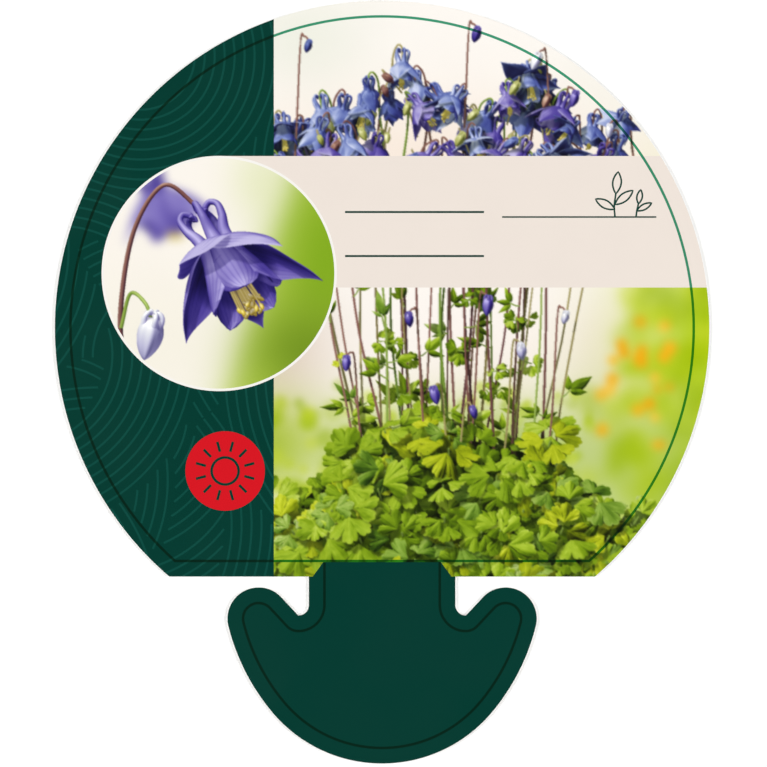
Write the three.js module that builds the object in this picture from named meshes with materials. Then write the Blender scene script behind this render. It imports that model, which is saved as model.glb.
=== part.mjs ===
// A die-cut plant label: a round head that carries the print, a short neck, and an anchor-shaped foot that
// snaps through the label slot in a plant pot's rim. The whole label is one piece of flat plastic sheet.
//
// Millimetres, +Z up. The label lies on its back at z = 0 with its printed face up, and +Y points to the top of
// the head. The origin is the middle of the outline's box, on the back face.

import * as THREE from "three";

// Driving dimensions.
const SHEET_THICKNESS = 0.4;
const HEAD_RADIUS = 42;
const SHOULDER_DROP = 31.9; // from the head's centre down to the straight shoulders
const NECK_WIDTH = 18.8;
const FOOT_DEPTH = 24; // from the shoulders down to the tip of the foot
const FOOT_WIDTH = 39.7; // across the two flukes
const FLUKE_RADIUS = 4; // the round upper end of each fluke
const FLUKE_GAP = 1.4; // between a shoulder and the top of the fluke, where the pot's rim sits
const TIP_RADIUS = 18.4; // the round bottom of the foot
const FLANK_RADIUS = 27.6; // the flatter arc that runs from a fluke to the bottom of the foot
const NOTCH_RADIUS = 1.35; // the inner corner between the neck and a fluke
const NOTCH_DEPTH = 5; // from the shoulders down to the lowest point of that corner
const CHORD_ERROR = 0.01; // how far a straight step may stray from its arc

const SHEET_COLOUR = 0x003a30;
const SHEET_ROUGHNESS = 0.4;

// Places that follow from them, measured from the head's centre, for the right-hand half.
const headCentre = new THREE.Vector2(0, 0);
const shoulderY = -SHOULDER_DROP;
const tipY = shoulderY - FOOT_DEPTH;
const neckX = NECK_WIDTH / 2;
const flukeCentre = new THREE.Vector2(FOOT_WIDTH / 2 - FLUKE_RADIUS, shoulderY - FLUKE_GAP - FLUKE_RADIUS);
const tipCentre = new THREE.Vector2(0, tipY + TIP_RADIUS);
const notchCentre = new THREE.Vector2(neckX + NOTCH_RADIUS, shoulderY - NOTCH_DEPTH + NOTCH_RADIUS);
const flankCentre = centreTouchingBoth(
  tipCentre,
  FLANK_RADIUS - TIP_RADIUS,
  flukeCentre,
  FLANK_RADIUS - FLUKE_RADIUS,
);

// The point at one distance from a and another from b, on the left of the line from a to b.
function centreTouchingBoth(a, distanceFromA, b, distanceFromB) {
  const between = b.clone().sub(a);
  const span = between.length();
  const along = (span ** 2 + distanceFromA ** 2 - distanceFromB ** 2) / (2 * span);
  const aside = Math.sqrt(distanceFromA ** 2 - along ** 2);
  const direction = between.divideScalar(span);
  const left = new THREE.Vector2(-direction.y, direction.x);
  return a.clone().addScaledVector(direction, along).addScaledVector(left, aside);
}

// The direction from one point to another, as an angle from -PI to PI.
function bearing(from, to) {
  return Math.atan2(to.y - from.y, to.x - from.x);
}

// Points along an arc. It turns clockwise when its end angle is below its start.
function arc(centre, radius, start, end) {
  const widestStep = 2 * Math.acos(1 - CHORD_ERROR / radius);
  const steps = Math.ceil(Math.abs(end - start) / widestStep);
  return Array.from({ length: steps + 1 }, (_, i) => {
    const angle = start + ((end - start) * i) / steps;
    return new THREE.Vector2(Math.cos(angle), Math.sin(angle)).multiplyScalar(radius).add(centre);
  });
}

// The foot's right-hand side, from the shoulder at the neck down to the tip: notch, fluke, flank and tip.
function rightFoot() {
  const notchBottom = notchCentre.clone().setY(notchCentre.y - NOTCH_RADIUS);
  const slopeLean = Math.asin(FLUKE_RADIUS / notchBottom.distanceTo(flukeCentre));
  const slope = bearing(notchBottom, flukeCentre) + slopeLean; // the straight way out of the notch
  const atFlank = bearing(flankCentre, flukeCentre);
  const atTip = bearing(flankCentre, tipCentre);
  return [
    new THREE.Vector2(neckX, shoulderY),
    ...arc(notchCentre, NOTCH_RADIUS, Math.PI, 1.5 * Math.PI),
    ...arc(flukeCentre, FLUKE_RADIUS, slope + Math.PI / 2, atFlank),
    ...arc(flankCentre, FLANK_RADIUS, atFlank, atTip),
    ...arc(tipCentre, TIP_RADIUS, atTip, -Math.PI / 2),
  ];
}

function labelOutline() {
  const corner = Math.asin(SHOULDER_DROP / HEAD_RADIUS);
  const head = arc(headCentre, HEAD_RADIUS, -corner, Math.PI + corner);
  const right = rightFoot();
  const left = right.map((point) => new THREE.Vector2(-point.x, point.y));
  return [...head, ...left, ...right.toReversed()];
}

function withoutRepeats(points) {
  return points.filter((point, i) => point.distanceTo(points.at(i - 1)) > CHORD_ERROR / 10);
}

function labelSheet() {
  const shape = new THREE.Shape(withoutRepeats(labelOutline()));
  const geometry = new THREE.ExtrudeGeometry(shape, { depth: SHEET_THICKNESS, bevelEnabled: false });
  const material = new THREE.MeshStandardMaterial({
    color: SHEET_COLOUR,
    roughness: SHEET_ROUGHNESS,
    metalness: 0,
  });
  const mesh = new THREE.Mesh(geometry, material);
  mesh.name = "label_sheet";
  return mesh;
}

const label = new THREE.Group();
label.add(labelSheet());
label.position.y = -(HEAD_RADIUS + tipY) / 2; // puts the middle of the outline at the origin

export default label;
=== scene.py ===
"""A die-cut plant label with an anchor foot: its printed face, its plastic sheet and its printed back.

The print is laid out in millimetres, seen from the front, with +Y to the top of the head and the origin in
the middle of the outline. Its pictures are drawn here as small curved models of a columbine.
"""

import logging
import math
from abc import ABC, abstractmethod
from collections.abc import Callable, Iterator
from dataclasses import dataclass
from enum import Enum
from functools import lru_cache
from math import pi
from typing import ClassVar, Protocol

import bpy
import numpy as np
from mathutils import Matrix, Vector
from mathutils.geometry import delaunay_2d_cdt


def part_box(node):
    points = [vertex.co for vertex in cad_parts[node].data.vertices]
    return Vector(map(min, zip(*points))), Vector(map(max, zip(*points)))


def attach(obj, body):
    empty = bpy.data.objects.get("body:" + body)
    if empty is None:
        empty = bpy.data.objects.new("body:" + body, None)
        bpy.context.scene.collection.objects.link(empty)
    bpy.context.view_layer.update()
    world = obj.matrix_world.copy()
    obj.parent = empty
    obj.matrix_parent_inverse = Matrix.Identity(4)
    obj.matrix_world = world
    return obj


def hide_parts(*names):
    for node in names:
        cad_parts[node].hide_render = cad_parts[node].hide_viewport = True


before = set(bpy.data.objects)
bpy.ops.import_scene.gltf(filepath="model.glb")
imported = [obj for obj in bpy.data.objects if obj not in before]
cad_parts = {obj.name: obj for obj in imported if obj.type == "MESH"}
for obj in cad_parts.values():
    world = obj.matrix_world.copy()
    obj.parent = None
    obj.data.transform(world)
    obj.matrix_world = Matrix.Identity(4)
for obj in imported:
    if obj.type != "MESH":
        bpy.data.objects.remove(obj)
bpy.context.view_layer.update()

Array = np.ndarray
Loops = tuple[Array, ...]  # the closed outlines that hold one shape
Pair, Row = tuple[float, float], tuple[float, ...]
Tree, Socket = bpy.types.NodeTree, bpy.types.NodeSocket
MM = 0.001
ARC_STEP = 0.16  # mm between the points of a round edge
FIFTH = 72  # degrees between the parts of a flower
SHEET = "label_sheet"
SHEET_LOW, SHEET_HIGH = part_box(SHEET)
log = logging.getLogger("plant_label")


# ---- colours, curves and turns


def tone_of(code: str) -> Array:
    """Reads a screen colour such as #86a62c as three numbers from 0 to 1."""
    return np.array([int(code[start : start + 2], 16) / 255 for start in (1, 3, 5)])


def linear(tone: Array) -> Array:
    """Screen colours as amounts of light."""
    return np.where(tone <= 0.04045, tone / 12.92, ((np.maximum(tone, 0) + 0.055) / 1.055) ** 2.4)


class Ramp:
    """A run of colours from shade to light."""

    def __init__(self, *codes: str) -> None:
        """Keeps the screen colours, evenly spaced from the darkest to the lightest."""
        self.stops = np.array([tone_of(code) for code in codes])

    def __call__(self, light: Array | float) -> Array:
        """The colour at each amount of light from 0 to 1."""
        at = np.clip(light, 0, 1) * (len(self.stops) - 1)
        return np.stack([np.interp(at, range(len(channel)), channel) for channel in self.stops.T], -1)


FRESH = Ramp("#131a03", "#2f4306", "#55720b", "#7b9a14", "#9fb92a", "#c6d666")
COOL = Ramp("#101a06", "#27400c", "#4a6c16", "#71932a", "#99b44c", "#c6d48a")
YELLOW = Ramp("#181e03", "#404b06", "#70800c", "#9dac14", "#c0ca26", "#e0e660")
BLUE = Ramp("#141238", "#292a68", "#404a91", "#606fb0", "#909ed0", "#ccd4ee")
VIOLET = Ramp("#150c40", "#2a1f6c", "#433590", "#6152a6", "#8c80c4", "#c4bce6")
SEED = Ramp("#4b4f22", "#7d823a", "#adb060", "#d0d08e", "#eeebc4")
PALE = Ramp("#5d5a86", "#8f8cb4", "#bdbbd8", "#dfe0ea", "#f6f5f2", "#ffffff")
POLLEN = Ramp("#6b5a14", "#b79a2a", "#e3cd5c", "#f7ecb0")
BROWN_STEM = Ramp("#2a1420", "#573338", "#82564f", "#a87f6b", "#cfb19a")
TAN_STEM = Ramp("#47401c", "#76693a", "#9d9058", "#c1b57e", "#e2dab0")
GREEN_STEM = Ramp("#26340f", "#4d6a1e", "#7d9a3a", "#a9c063", "#d5e0a0")
ORANGE = Ramp("#d98a10", "#f2a008", "#fab41a", "#fdd25c")
MEADOW = Ramp("#4c760e", "#7a9b0a", "#9bb900", "#b6cc0c", "#d0dc44")


class Axis(Enum):
    """An axis, by the two others that a turn about it mixes."""

    X = (1, 2)
    Y = (2, 0)
    Z = (0, 1)


def turn(*steps: tuple[Axis, float]) -> Array:
    """A turn made of steps, the last one first.

    Args:
        steps: The axis and the degrees of each step.

    Returns:
        The turn as a 3 by 3 matrix.
    """
    whole = np.eye(3)
    for axis, degrees in steps:
        first, second = axis.value
        cosine, sine = math.cos(math.radians(degrees)), math.sin(math.radians(degrees))
        step = np.eye(3)
        step[first, first] = step[second, second] = cosine
        step[first, second], step[second, first] = -sine, sine
        whole = whole @ step
    return whole


def unit(vectors: Array) -> Array:
    """The same directions at a length of 1."""
    return vectors / (np.linalg.norm(vectors, axis=-1, keepdims=True) + 1e-12)


def compass(angle: Array | float) -> Array:
    """The flat direction at each angle, in radians from +X."""
    return np.stack([np.cos(angle), np.sin(angle)], -1)


def leftwards(ahead: Array) -> Array:
    """Flat directions turned a quarter to the left."""
    return ahead[..., ::-1] * [-1, 1]


def facing_along(ahead: Array) -> Array:
    """A turn that points +Z along a direction of length 1."""
    across = unit(np.cross([0.0, 1.0, 0.0], ahead))
    return np.stack([across, np.cross(ahead, across), ahead], axis=1)


@dataclass(frozen=True)
class Pose:
    """Where a piece of the plant is: a turn and a place."""

    turn: Array
    place: Array

    def __call__(self, points: Array) -> Array:
        """Brings the piece's own points to their place."""
        return points @ self.turn.T + self.place


def curve(knots: Array, along: Array) -> Array:
    """A smooth curve through all its knots.

    Args:
        knots: The points it passes, in order.
        along: Where on it to read, from 0 to 1 by length.

    Returns:
        A point for each value of along.
    """
    knots = np.asarray(knots, float)
    steps = np.linalg.norm(np.diff(knots, axis=0), axis=-1)
    marks = np.concatenate([[0], np.cumsum(steps)]) / steps.sum()
    at = np.interp(np.clip(along, 0, 1), marks, np.arange(len(knots)))
    ends = np.concatenate([[2 * knots[0] - knots[1]], knots, [2 * knots[-1] - knots[-2]]])
    step = np.minimum(at.astype(int), len(steps) - 1)
    part = (at - step)[..., None]
    a, b, c, d = (ends[step + k] for k in range(4))
    bend = (2 * a - 5 * b + 4 * c - d) * part**2 + (3 * b - a - 3 * c + d) * part**3
    return 0.5 * (2 * b + (c - a) * part + bend)


def heading_on(knots: Array, along: Array) -> Array:
    """Which way a smooth curve runs, seen from +Z."""
    return unit((curve(knots, along + 0.01) - curve(knots, along - 0.01))[..., :2])


def blade_width(along: Array, base: float, tip: float) -> Array:
    """How wide a blade is along its length. A small power makes a blunt end, a large one a pointed end.

    Args:
        along: Where, from 0 to 1.
        base: The power at its base.
        tip: The power at its tip.

    Returns:
        Widths from 0 to 1.
    """
    peak = base / (base + tip)
    along = 0.001 + 0.998 * along
    return along**base * (1 - along) ** tip / (peak**base * (1 - peak) ** tip)


@lru_cache(maxsize=None)
def mottle_waves(size: float, seed: int) -> list[tuple[float, float, float]]:
    """Makes the waves of a mottled pattern.

    Args:
        size: About how large its spots are.
        seed: Picks one pattern.

    Returns:
        How fast each wave runs across and up, and where it starts.
    """
    rng = np.random.default_rng(seed)
    waves = []
    for _ in range(7):
        heading, start = rng.uniform(0, 2 * pi, 2)
        pace = 2 * pi / size * rng.uniform(0.6, 1.5)
        waves.append((pace * math.cos(heading), pace * math.sin(heading), start))
    return waves


def mottle(x: Array, y: Array, size: float, seed: int) -> Array:
    """A smooth random pattern from about -1 to 1, with spots of about the given size."""
    return sum(np.sin(across * x + up * y + start) for across, up, start in mottle_waves(size, seed)) / 4


def blur(picture: Array, radius: float, passes: int = 3) -> Array:
    """Softens a picture.

    Args:
        picture: Its rows of samples.
        radius: How far each pass reaches, in samples.
        passes: How often each way is averaged.

    Returns:
        The soft picture, of the same size.
    """
    half = max(round(radius), 1)
    soft = picture
    for axis in (0, 1) * passes:
        count = soft.shape[axis]
        pad = [(0, 0)] * soft.ndim
        pad[axis] = (half + 1, half)
        run = np.cumsum(np.pad(soft, pad, mode="edge"), axis=axis)
        ahead = np.take(run, np.arange(2 * half + 1, 2 * half + 1 + count), axis=axis)
        soft = (ahead - np.take(run, np.arange(count), axis=axis)) / (2 * half + 1)
    return soft


# ---- drawing curved models


class Organ(ABC):
    """A curved surface of the plant, given over u and v from 0 to 1."""

    gloss: ClassVar[float] = 0.1  # how bright its highlights are
    through: ClassVar[float] = 0.3  # how much light shines through it from behind

    @abstractmethod
    def points(self, u: Array, v: Array) -> Array:
        """Where its surface is.

        Args:
            u: How far along it, from 0 to 1.
            v: How far across or round it, from 0 to 1.

        Returns:
            A point for each u and v.
        """

    @abstractmethod
    def paint(self, u: Array, v: Array, light: Array) -> Array:
        """How it is coloured.

        Args:
            u: How far along it.
            v: How far across or round it.
            light: The light that falls there.

        Returns:
            A screen colour for each u and v.
        """


@dataclass
class Canvas:
    """One sharp layer of a picture, seen from +Z: a colour and a height for each sample."""

    low: Array
    high: Array
    pitch: float  # mm between its samples
    SUN: ClassVar[Array] = np.array([-0.419, 0.699, 0.579])
    AMBIENT: ClassVar[float] = 0.16  # the light that comes from all round
    SHARPNESS: ClassVar[int] = 24  # of the highlights
    LOOKS: ClassVar[int] = 12  # the steps each way of a first rough look at a surface
    OVERLAP: ClassVar[float] = 0.62  # of a sample from one point of a surface to the next, to miss none
    STEPS: ClassVar[tuple[int, int]] = (6, 1400)  # the fewest and the most steps each way over a surface
    HIDDEN: ClassVar[float] = 0.3  # mm below what is drawn, where a surface counts as hidden
    SHADOW_STEPS: ClassVar[int] = 14
    SHADOW_EDGE: ClassVar[float] = 0.25  # how soft a shadow's edge is, as a share of how far it falls
    SHADOW_DEPTH: ClassVar[float] = 0.55  # how dark a cast shadow is beside full shade

    def __post_init__(self) -> None:
        """Clears the layer."""
        wide, tall = np.round((self.high - self.low) / self.pitch).astype(int)
        self.colour = np.zeros((tall, wide, 3))
        self.height = np.full((tall, wide), -np.inf)

    def grid(self) -> tuple[Array, Array]:
        """Where every sample is."""
        up, across = ((np.arange(count) + 0.5) * self.pitch for count in self.height.shape)
        return np.meshgrid(self.low[0] + across, self.low[1] + up)

    def steps_over(self, organ: Organ) -> list[int] | None:
        """Takes a first rough look at a surface.

        Args:
            organ: The surface.

        Returns:
            The steps each way that drawing it takes, or None if it is off the layer or behind what is on it.
        """
        steps = np.linspace(0, 1, self.LOOKS + 1)
        rough = organ.points(*np.meshgrid(steps, steps, indexing="ij"))
        flat = rough[..., :2]
        tall, wide = self.height.shape
        at = np.clip(((flat - self.low) / self.pitch).astype(int), 0, [wide - 1, tall - 1])
        off = (flat.max((0, 1)) < self.low).any() or (flat.min((0, 1)) > self.high).any()
        if off or (self.height[at[..., 1], at[..., 0]] > rough[..., 2] + self.HIDDEN).all():
            return None
        widest = (np.abs(np.diff(flat, axis=axis)).max() for axis in (0, 1))
        return [int(np.clip(self.LOOKS * step / (self.OVERLAP * self.pitch), *self.STEPS)) for step in widest]

    def lay(self, organ: Organ) -> None:
        """Draws a surface over what lies lower.

        Args:
            organ: The surface.
        """
        steps = self.steps_over(organ)
        if steps is None:
            return
        u, v = np.meshgrid(*(np.linspace(0, 1, count) for count in steps), indexing="ij")
        points = organ.points(u, v)
        normal = unit(np.cross(np.gradient(points, axis=0), np.gradient(points, axis=1)))
        normal *= np.where(normal[..., 2:] < 0, -1.0, 1.0)
        facing = normal @ self.SUN
        direct = (1 - self.AMBIENT) * np.maximum(facing, 0)
        light = self.AMBIENT + direct + organ.through * np.maximum(-facing, 0)
        shine = organ.gloss * np.maximum(normal @ unit(self.SUN + [0, 0, 1]), 0) ** self.SHARPNESS
        colours = organ.paint(u, v, light) + shine[..., None]
        self._keep_highest(points.reshape(-1, 3), colours.reshape(-1, 3))

    def _keep_highest(self, points: Array, colours: Array) -> None:
        """Puts each coloured point in its sample if it is the highest there.

        Args:
            points: The points.
            colours: A colour for each.
        """
        tall, wide = self.height.shape
        at = np.floor((points[:, :2] - self.low) / self.pitch).astype(int)
        inside = (at >= 0).all(1) & (at < [wide, tall]).all(1)
        at, high, colours = at[inside], points[inside, 2], colours[inside]
        order = np.argsort(high, kind="stable")
        sample, high = (at[:, 1] * wide + at[:, 0])[order], high[order]
        seen = high > self.height.ravel()[sample]
        self.height.ravel()[sample[seen]] = high[seen]
        self.colour.reshape(-1, 3)[sample[seen]] = colours[order][seen]

    def shade(self, reach: float, depth: float, strength: float, tint: Array) -> None:
        """Darkens what lies low beside something high, and what the sun doesn't reach.

        Args:
            reach: How far around a sample it looks, in mm. Shadows fall twice as far.
            depth: How much lower a sample must be to be in full shade, in mm.
            strength: How dark full shade is.
            tint: What full shade multiplies a colour by.
        """
        solid = np.isfinite(self.height)
        height = np.where(solid, self.height, self.height[solid].min() - 2)
        low = np.clip((blur(height, reach / self.pitch) - height) / depth, 0, 1)
        level = float(np.linalg.norm(self.SUN[:2]))
        dark = np.zeros_like(height)
        for away in 2 * reach / self.SHADOW_STEPS * np.arange(1, self.SHADOW_STEPS + 1):
            shift = np.round(self.SUN[:2] / level * away / self.pitch).astype(int)
            caster = np.roll(height, (-shift[1], -shift[0]), axis=(0, 1))
            risen = caster - height - self.SUN[2] / level * away
            dark = np.maximum(dark, np.clip(risen / (self.SHADOW_EDGE * away), 0, 1))
        cast = self.SHADOW_DEPTH * strength * blur(dark, 1)
        amount = (1 - (1 - strength * low) * (1 - cast))[..., None]
        self.colour *= 1 - amount + amount * tint

    def over(self, ground: Array, soften: float = 0.0) -> Array:
        """Lays this layer over a ground picture.

        Args:
            ground: The ground.
            soften: How far out of focus the layer is, in mm.

        Returns:
            The two as one picture.
        """
        cover = np.isfinite(self.height).astype(float)[..., None]
        ink = self.colour * cover
        if soften:
            cover, ink = blur(cover, soften / self.pitch), blur(ink, soften / self.pitch)
        return ground * (1 - cover) + ink


# ---- the pictured plant


@dataclass(frozen=True)
class Leaflet(Organ):
    """One fan-shaped leaflet with three round-toothed lobes."""

    reach: float
    spread: float  # radians to either side
    pose: Pose
    droop: float
    fresh: float  # how light its green is
    seed: int
    cut: float  # how deep the gaps between its lobes are
    hue: Ramp
    gloss: ClassVar[float] = 0.07
    LOBE_VEINS: ClassVar[Row] = (-0.66, 0.0, 0.66)
    SIDE_VEINS: ClassVar[Row] = (-0.86, -0.44, -0.2, 0.2, 0.44, 0.86)

    def points(self, u: Array, v: Array) -> Array:
        """u runs out from the stalk and v across the fan."""
        side = 2 * v - 1
        lobes = 1 - self.cut * (1 - np.abs(np.cos(1.5 * pi * side)) ** 0.45)
        teeth = 1 - 0.11 * (1 - np.abs(np.cos(4.5 * pi * side)) ** 0.6)
        radius = self.reach * (1 - 0.16 * side**2) * lobes * teeth * u
        angle = side * self.spread * (0.75 + 0.25 * u)
        folds = 0.035 * radius * np.cos(3 * pi * side) * u - 0.15 * radius * np.abs(side) ** 1.3
        wave = 0.075 * self.reach * mottle(side * 1.3, u * 1.5, 1.9, self.seed) * u
        out = radius * np.cos(angle) + 0.10 * self.reach
        up = folds + wave - self.droop * radius * u
        return self.pose(np.stack([radius * np.sin(angle), out, up], -1))

    def paint(self, u: Array, v: Array, light: Array) -> Array:
        """Paler veins and rim."""
        side = 2 * v - 1
        veins = np.zeros_like(u)
        for width, centres in ((0.020, self.LOBE_VEINS), (0.009, self.SIDE_VEINS)):
            for centre in centres:
                veins += np.exp(-(((side - centre) * (0.15 + u) / width) ** 2)) * (u < 0.9)
        rim = np.clip((u - 0.94) / 0.06, 0, 1)
        spots = 0.05 * mottle(side * 2, u * 3, 1.0, self.seed + 5)
        tone = self.fresh * (light * 0.96 + 0.09 * np.clip(veins, 0, 1) + 0.12 * rim + spots) - 0.09
        return self.hue(tone)


@dataclass(frozen=True)
class Blade(Organ):
    """One pointed blade, a sepal or a narrow leaf. It sets off at a heading and bends along its length."""

    length: float
    half: float
    heading: float
    bend: float
    around: float  # degrees round its stalk
    pose: Pose
    hue: Ramp
    seed: int
    light: float
    cup: float = 0.34  # how far its sides curve down
    gloss: ClassVar[float] = 0.05
    through: ClassVar[float] = 0.6

    def points(self, u: Array, v: Array) -> Array:
        """u runs from its base to the tip and v across."""
        side = 2 * v - 1
        heading = self.heading + self.bend * u
        out = self.length / self.bend * (np.sin(heading) - math.sin(self.heading)) + 0.12 * self.length
        up = self.length / self.bend * (math.cos(self.heading) - np.cos(heading)) - 0.02 * self.length
        width = blade_width(u, 0.62, 1.3)
        half = self.half * width
        wave = 0.085 * self.length * mottle(side * 0.8, u * 2.0, 2.0, self.seed) * np.abs(side) * u * width
        lift = (-self.cup * side**2 + 0.06 * np.cos(pi * side)) * half + wave
        blade = np.stack([out - lift * np.sin(heading), up + lift * np.cos(heading), half * side], -1)
        return self.pose(blade @ turn((Axis.Y, self.around)).T)

    def paint(self, u: Array, v: Array, light: Array) -> Array:
        """Darker veins, a paler tip and rim."""
        side = 2 * v - 1
        veins = np.cos(side * pi * 6.5 + 0.5 * np.sin(5 * u)) ** 8 * np.clip(1.2 - u, 0, 1)
        middle = np.exp(-((side / 0.07) ** 2))
        tone = self.light * light * 0.90 - 0.12 * veins - 0.06 * middle + 0.10 * u**3 - 0.10 * (1 - u) ** 3
        return self.hue(tone + 0.08 * mottle(side, u * 2, 1.0, self.seed + 1) + 0.15 * np.abs(side) ** 8)


@dataclass(frozen=True)
class SpurredPetal(Organ):
    """One inner petal: a rounded blade at the mouth that narrows into a hollow spur with a hooked end."""

    size: float
    around: float
    pose: Pose
    hue: Ramp
    seed: int
    flare: float
    light: float
    gloss: ClassVar[float] = 0.08
    through: ClassVar[float] = 0.36
    ROUTE: ClassVar[Array] = np.array(
        [(0.50, -1.05), (0.46, -0.82), (0.39, -0.54), (0.30, -0.24), (0.27, 0.04),
         (0.33, 0.28), (0.33, 0.47), (0.22, 0.58), (0.09, 0.53), (0.08, 0.42)]
    )
    WIDTH_AT: ClassVar[tuple] = (0, 0.015, 0.05, 0.12, 0.22, 0.34, 0.46, 0.56, 0.68, 0.82, 0.94, 0.98, 1.0)
    WIDTH: ClassVar[tuple] = (0, 0.10, 0.20, 0.29, 0.32, 0.24, 0.14, 0.085, 0.055, 0.036, 0.040, 0.035, 0)

    def points(self, u: Array, v: Array) -> Array:
        """u runs from the blade's edge to the spur's end and v round it."""
        side = 2 * v - 1
        route = self.ROUTE.copy()
        route[:2, 0] += (self.flare, 0.5 * self.flare)
        route *= self.size
        middle, ahead = curve(route, u), heading_on(route, u)
        half = self.size * np.interp(u, self.WIDTH_AT, self.WIDTH)
        wrap = np.interp(u, (0, 0.2, 0.36, 0.5, 1), (0.8, 1.1, 1.8, pi, pi))
        round_ = half / np.sin(np.minimum(wrap, pi / 2))
        ripple = 0.03 * self.size * mottle(side, u * 3, 1.5, self.seed) * (u < 0.35) * np.abs(side)
        sunk = round_ * (np.cos(wrap * side) - 1) + ripple
        x, y = middle[..., 0] + ahead[..., 1] * sunk, middle[..., 1] - ahead[..., 0] * sunk
        petal = np.stack([x, y, round_ * np.sin(wrap * side)], -1)
        return self.pose(petal @ turn((Axis.Y, self.around)).T)

    def paint(self, u: Array, v: Array, light: Array) -> Array:
        """Veins on the blade, a paler edge and a dark end to the spur."""
        side = 2 * v - 1
        veins = np.cos(side * pi * 5) ** 6 * np.clip((0.7 - u) / 0.7, 0, 1)
        pale = 0.16 * np.clip((0.12 - u) / 0.12, 0, 1) + 0.10 * np.exp(-(((u - 0.55) / 0.15) ** 2))
        spots = 0.07 * mottle(side, u * 3, 0.9, self.seed + 1)
        tone = self.light * light * 0.84 - 0.12 * veins + pale + spots
        return self.hue(tone - 0.10 * np.clip((u - 0.9) / 0.1, 0, 1))


@dataclass(frozen=True)
class Stalk(Organ):
    """A round stalk along a smooth curve, with its radius in mm given at even steps."""

    route: Array
    radius: Row
    hue: Ramp
    light: float = 1.0
    gloss: ClassVar[float] = 0.12
    through: ClassVar[float] = 0.2

    def points(self, u: Array, v: Array) -> Array:
        """u runs along it and v round its seen side."""
        radius = np.interp(u, np.linspace(0, 1, len(self.radius)), self.radius)
        out, up = radius * np.sin(pi * (v - 0.5)), radius * np.cos(pi * (v - 0.5))
        aside = leftwards(heading_on(self.route, u)) * out[..., None]
        return curve(self.route, u) + np.concatenate([aside, up[..., None]], -1)

    def paint(self, u: Array, v: Array, light: Array) -> Array:
        """One hue all along, shaded across it only where it is thick."""
        flat = 1 - min(max(self.radius) / 0.3, 1.0) ** 2
        return self.hue(self.light * (flat * 0.62 + (1 - flat) * light * 0.9))


@dataclass(frozen=True)
class Bead(Organ):
    """A small egg-shaped body: an anther, a bud's body or a seed case, with ridges along it."""

    half_length: float
    half_width: float
    pose: Pose
    hue: Ramp
    light: float
    ridges: int = 0
    pointed: float = 0.6
    gloss: ClassVar[float] = 0.12

    def points(self, u: Array, v: Array) -> Array:
        """u runs from top to bottom and v round it."""
        angle = 2 * pi * v
        width = self.half_width * blade_width(u, 0.5, self.pointed)
        width *= 1 + 0.07 * np.cos(self.ridges * angle) * (self.ridges > 0)
        body = [width * np.cos(angle), self.half_length * (1 - 2 * u), width * np.sin(angle)]
        return self.pose(np.stack(body, axis=-1))

    def paint(self, u: Array, v: Array, light: Array) -> Array:
        """Darker seams between the ridges and a paler end."""
        seams = 0.16 * np.cos(self.ridges * pi * v) ** 10 * (self.ridges > 0)
        return self.hue(self.light * light * 0.95 - seams + 0.12 * u**2)


@dataclass(frozen=True)
class Proof:
    """A finished picture, ready to be printed: its colours from the bottom row up, and where it lies."""

    colours: Array
    low: Array
    pitch: float
    # how far the colours may range in squares of 2, 4, 8 and 16 samples that one point does for
    TOLERANCES: ClassVar[Row] = (0.0, 0.05, 0.04, 0.04)

    def ink_at(self, points: Array, below: Array) -> Array:
        """Reads the picture's colours.

        Args:
            points: Where.
            below: What is printed below, which the picture hides.

        Returns:
            A colour for each point.
        """
        tall, wide, _ = self.colours.shape
        at = np.clip((points - self.low) / self.pitch - 0.5, 0, [wide - 1.001, tall - 1.001])
        first = at.astype(int)
        j, i = first[..., 0], first[..., 1]
        part = (at - first)[..., None]
        across, up = part[..., 0, :], part[..., 1, :]
        lower = self.colours[i, j] * (1 - across) + self.colours[i, j + 1] * across
        upper = self.colours[i + 1, j] * (1 - across) + self.colours[i + 1, j + 1] * across
        return lower * (1 - up) + upper * up

    def dots(self) -> Array:
        """Finds points that hold the picture: few where it is even, many where it is busy or near that.

        Returns:
            The middles of squares that are even enough for one point to do.
        """
        largest = 2 ** len(self.TOLERANCES)
        tall, wide, _ = self.colours.shape
        room = [(0, -tall % largest), (0, -wide % largest)]
        picture = np.pad(self.colours, [*room, (0, 0)], mode="edge")
        rows, columns = picture.shape[:2]
        done = np.zeros((rows, columns), bool)
        found = []
        for level in reversed(range(len(self.TOLERANCES))):
            side = 2 ** (level + 1)
            squares = picture.reshape(rows // side, side, columns // side, side, 3)
            even = (squares.max((1, 3)) - squares.min((1, 3))).max(-1) < self.TOLERANCES[level]
            for axis in (0, 1) if level > 1 else ():
                even = even & np.roll(even, 1, axis) & np.roll(even, -1, axis)
            take = ~done[::side, ::side] & (even | (level == 0))
            i, j = np.nonzero(take)
            found.append(np.stack([j + 0.5, i + 0.5], -1) * side)
            done |= np.repeat(np.repeat(take, side, 0), side, 1)
        return self.low + np.concatenate(found) * self.pitch


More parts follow.
